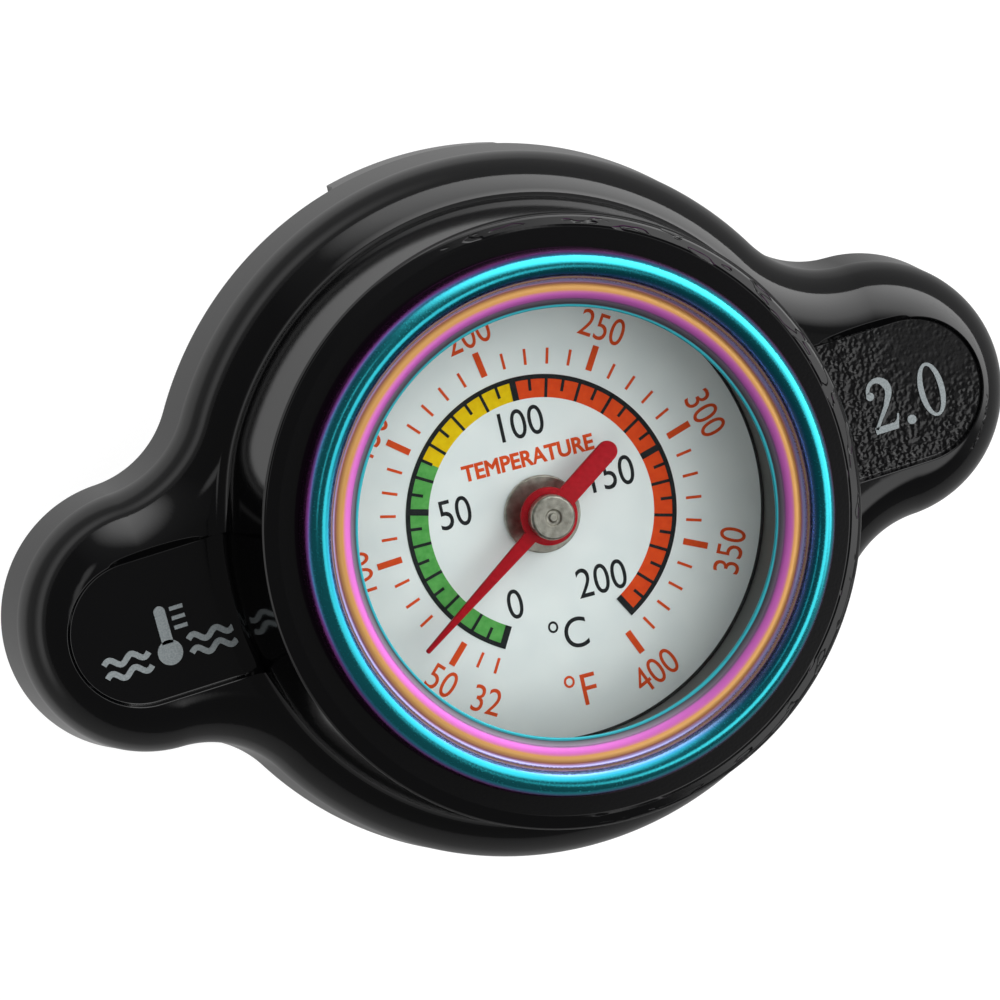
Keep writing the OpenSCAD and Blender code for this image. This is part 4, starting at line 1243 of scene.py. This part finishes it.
lathe("valve_rubber", [(9.5, holder_z, 0), (11.15, holder_z, 0), (11.15, seat_z, 0.1), (14.2, seat_z, 0.35),
                       (14.2, plate_low, 0.35), (9.5, plate_low, 0)],
      rubber, "pressure_valve", "black_rubber", "pressure_seal")
lathe("seal_holder", [(9.05, seat_z, 0.2), (11.1, seat_z, 0.12), (11.1, -14.6, 0.1), (9.45, -14.6, 0.05),
                      (9.45, plate_low, 0), (9.05, plate_low, 0)],
      steel, "pressure_valve", "stainless_steel", "seal_retainer", 192)


def snap_ring(name, inner, outer, low, body, node):
    """A stamped ring with a gap, that springs into its groove."""
    half = math.degrees(clip_gap / 2 / inner)
    edges = [bow(0, 0, radius, radius, half, 360 - half, 90) for radius in (inner, outer)]
    made = raised(name, [edges], spring_steel, low, clip_t, bevel=0.1)
    return seat(made, body, "spring_steel", node)


snap_ring("shank_ring", shank_r - groove, 5.1, clip_low, "cap", "shank_clip")

# Vacuum valve
# A brass disc with a thin rubber face that a light spring holds up against the vents of the pressure plate.
# A snap ring on the hub carries the spring.
vacuum_in, vacuum_out, face_low, disc_foot = 5.25, 8.5, -12.6, -13.3
lathe("vacuum_face", flat_ring(vacuum_in, vacuum_out, face_low, plate_low, 0, 0.05, 0.15, 0.1),
      rubber, "vacuum_valve", "black_rubber", "vacuum_seal", 144)
lathe("vacuum_plate", flat_ring(vacuum_in, vacuum_out, disc_foot, face_low, 0.1, 0.15, 0.1, 0),
      brass, "vacuum_valve", "brass", "vacuum_disc", 144)
snap_ring("hub_ring", hub_out - groove, 7.2, clip_groove, "pressure_valve", "vacuum_clip")

# Floor, light and camera
# The cap stands on its probe on a white floor. A soft wall of light in the world stands behind it on the
# right, with some soft glows above, and two soft boxes light what is dull. The camera has a long lens.
# White floor: the camera sees it evenly white. Gloss sees painted light on it instead: a grey glow out to
# about 60 mm from the cap, brightest at the back left, then painted dark as if the floor lay in the cap's
# shadow, and a bright painted streak further out at the back left.
white_floor, tree, shader, place = finish("white_studio_floor")


def grey(level):
    return level, level, level, 1


oval = vector(tree, "MULTIPLY", place, (0.85, 1, 0))
away = vector(tree, "LENGTH", oval)
near = remap(tree, away, (0, 300 * MM))
# Painted light for reflections: a grey glow near the cap that falls off to painted dark, which stands in for
# the cap's shadow on the floor.
card_glow = put(tree, "ShaderNodeValToRGB", {0: near}, stops=(
    (0.0, grey(0.27)), (0.185, grey(0.27)), (0.22, grey(0.0)), (1.0, grey(0.0))))
# Painted light for reflections: a bright streak about 90 to 270 mm out, kept to the back left below.
streak_glow = put(tree, "ShaderNodeValToRGB", {0: near}, stops=(
    (0.3, grey(0.0)), (0.45, grey(0.6)), (0.6, grey(0.6)), (0.9, grey(0.04))))
bearing = vector(tree, "NORMALIZE", oval)
behind = vector(tree, "DOT_PRODUCT", bearing, (-0.82, 0.57, 0))
sector = remap(tree, behind, (0.3, 0.85), kind="SMOOTHSTEP")
half = remap(tree, behind, (-0.4, 0.8), (0.2, 1), kind="SMOOTHSTEP")
brighter = calc(tree, "MULTIPLY", card_glow, half)
lit = calc(tree, "MULTIPLY_ADD", streak_glow, sector, brighter)
rays = put(tree, "ShaderNodeLightPath").outputs
mirrored = calc(tree, "MAXIMUM", rays["Is Glossy Ray"], rays["Is Transmission Ray"])
shown = calc(tree, "MULTIPLY", mirrored, lit)
seen = calc(tree, "MULTIPLY_ADD", rays["Is Camera Ray"], 0.88, shown)
feed(tree, shader, {"Base Color": linear("#808080"), "Roughness": 0.9, "Emission Color": (1, 1, 1, 1),
                    "Emission Strength": seen})
floor_z = -29.2
floor_form = bmesh.new()
bmesh.ops.create_grid(floor_form, x_segments=2, y_segments=2, size=3.0)
bmesh.ops.translate(floor_form, verts=floor_form.verts, vec=(0, 0, floor_z * MM))
piece("floor", baked(floor_form, "floor"), white_floor)


def toward(azimuth, elevation, distance=1):
    """The place at a distance in a direction, given in degrees."""
    flat = distance * math.cos(math.radians(elevation))
    return (flat * math.cos(math.radians(azimuth)), flat * math.sin(math.radians(azimuth)),
            distance * math.sin(math.radians(elevation)))


world = bpy.data.worlds.new("studio")
bpy.context.scene.world = world
world.use_nodes = True
tree = world.node_tree
way = put(tree, "ShaderNodeTexCoord").outputs["Generated"]
wide_way = vector(tree, "MULTIPLY", way, (1, 1, 1.45))
flat_way = vector(tree, "NORMALIZE", wide_way)
facing = vector(tree, "DOT_PRODUCT", flat_way, toward(35, 5))
light = put(tree, "ShaderNodeValToRGB", {0: facing}, stops=(
    (0.1, grey(0.015)), (0.33, grey(0.04)), (0.44, grey(0.28)), (0.55, grey(0.5)), (0.8, grey(0.75)),
    (1.0, grey(1.0))))
# Each glow is its azimuth, its elevation, the angles where it starts and stops to fade, and its level.
for azimuth, elevation, inner, outer, level in ((-40, 51, 14, 23, 0.38), (125, 52, 1, 8, 0.2),
                                                 (142, 52, 1, 8, 0.2), (160, 52, 1, 8, 0.2)):
    aimed = vector(tree, "DOT_PRODUCT", way, toward(azimuth, elevation))
    fade = [math.cos(math.radians(turn)) for turn in (outer, inner)]
    glow = remap(tree, aimed, fade, (0, level), "SMOOTHSTEP")
    light = calc(tree, "ADD", light, glow)
studio = tree.nodes["Background"]
feed(tree, studio, {"Color": light, "Strength": 4.0})
white = put(tree, "ShaderNodeBackground", {"Color": (1, 1, 1, 1), "Strength": 1.0})
rays = put(tree, "ShaderNodeLightPath").outputs
clear = calc(tree, "MAXIMUM", rays["Is Camera Ray"], rays["Is Transmission Ray"])
backdrop = calc(tree, "MULTIPLY_ADD", rays["Is Glossy Ray"], 0.05, clear)
either = put(tree, "ShaderNodeMixShader", {0: backdrop, 1: studio, 2: white})
feed(tree, tree.nodes["World Output"], {"Surface": either})


def soft_box(name, place, wide, deep, watts):
    """A soft lamp that faces the origin and lights only what is dull: gloss sees the world instead."""
    lamp = bpy.data.lights.new(name, "AREA")
    lamp.shape, lamp.size, lamp.size_y, lamp.energy = "RECTANGLE", wide * MM, deep * MM, watts
    made = show(name, lamp)
    made.location = Vector(place) * MM
    made.rotation_euler = (-Vector(place)).to_track_quat("-Z", "Y").to_euler()
    made.visible_glossy = False


soft_box("key_box", toward(5, 70, 700), 800, 600, 1.95)
soft_box("fill_box", toward(190, 60, 700), 600, 500, 1.0)

view_back = Vector((-0.2201, 0.1555, 0.9630)).normalized()
view_right = Vector((0.9305, -0.2628, 0.2551))
view_right = (view_right - view_back * view_right.dot(view_back)).normalized()
view_up = view_back.cross(view_right)
camera = bpy.data.cameras.new("camera")
camera.sensor_width = 36
camera.lens = 339.5
camera.clip_start = 0.01
camera_away = 682.98
shift_right, shift_up = -0.5025, 0.1354
stand = show("camera", camera)
spot = view_back * camera_away + view_right * shift_right + view_up * shift_up
turn = Matrix((view_right, view_up, view_back)).transposed().to_4x4()
stand.matrix_world = Matrix.Translation(spot * MM) @ turn
bpy.context.scene.camera = stand
bpy.context.scene.view_settings.view_transform = "Standard"
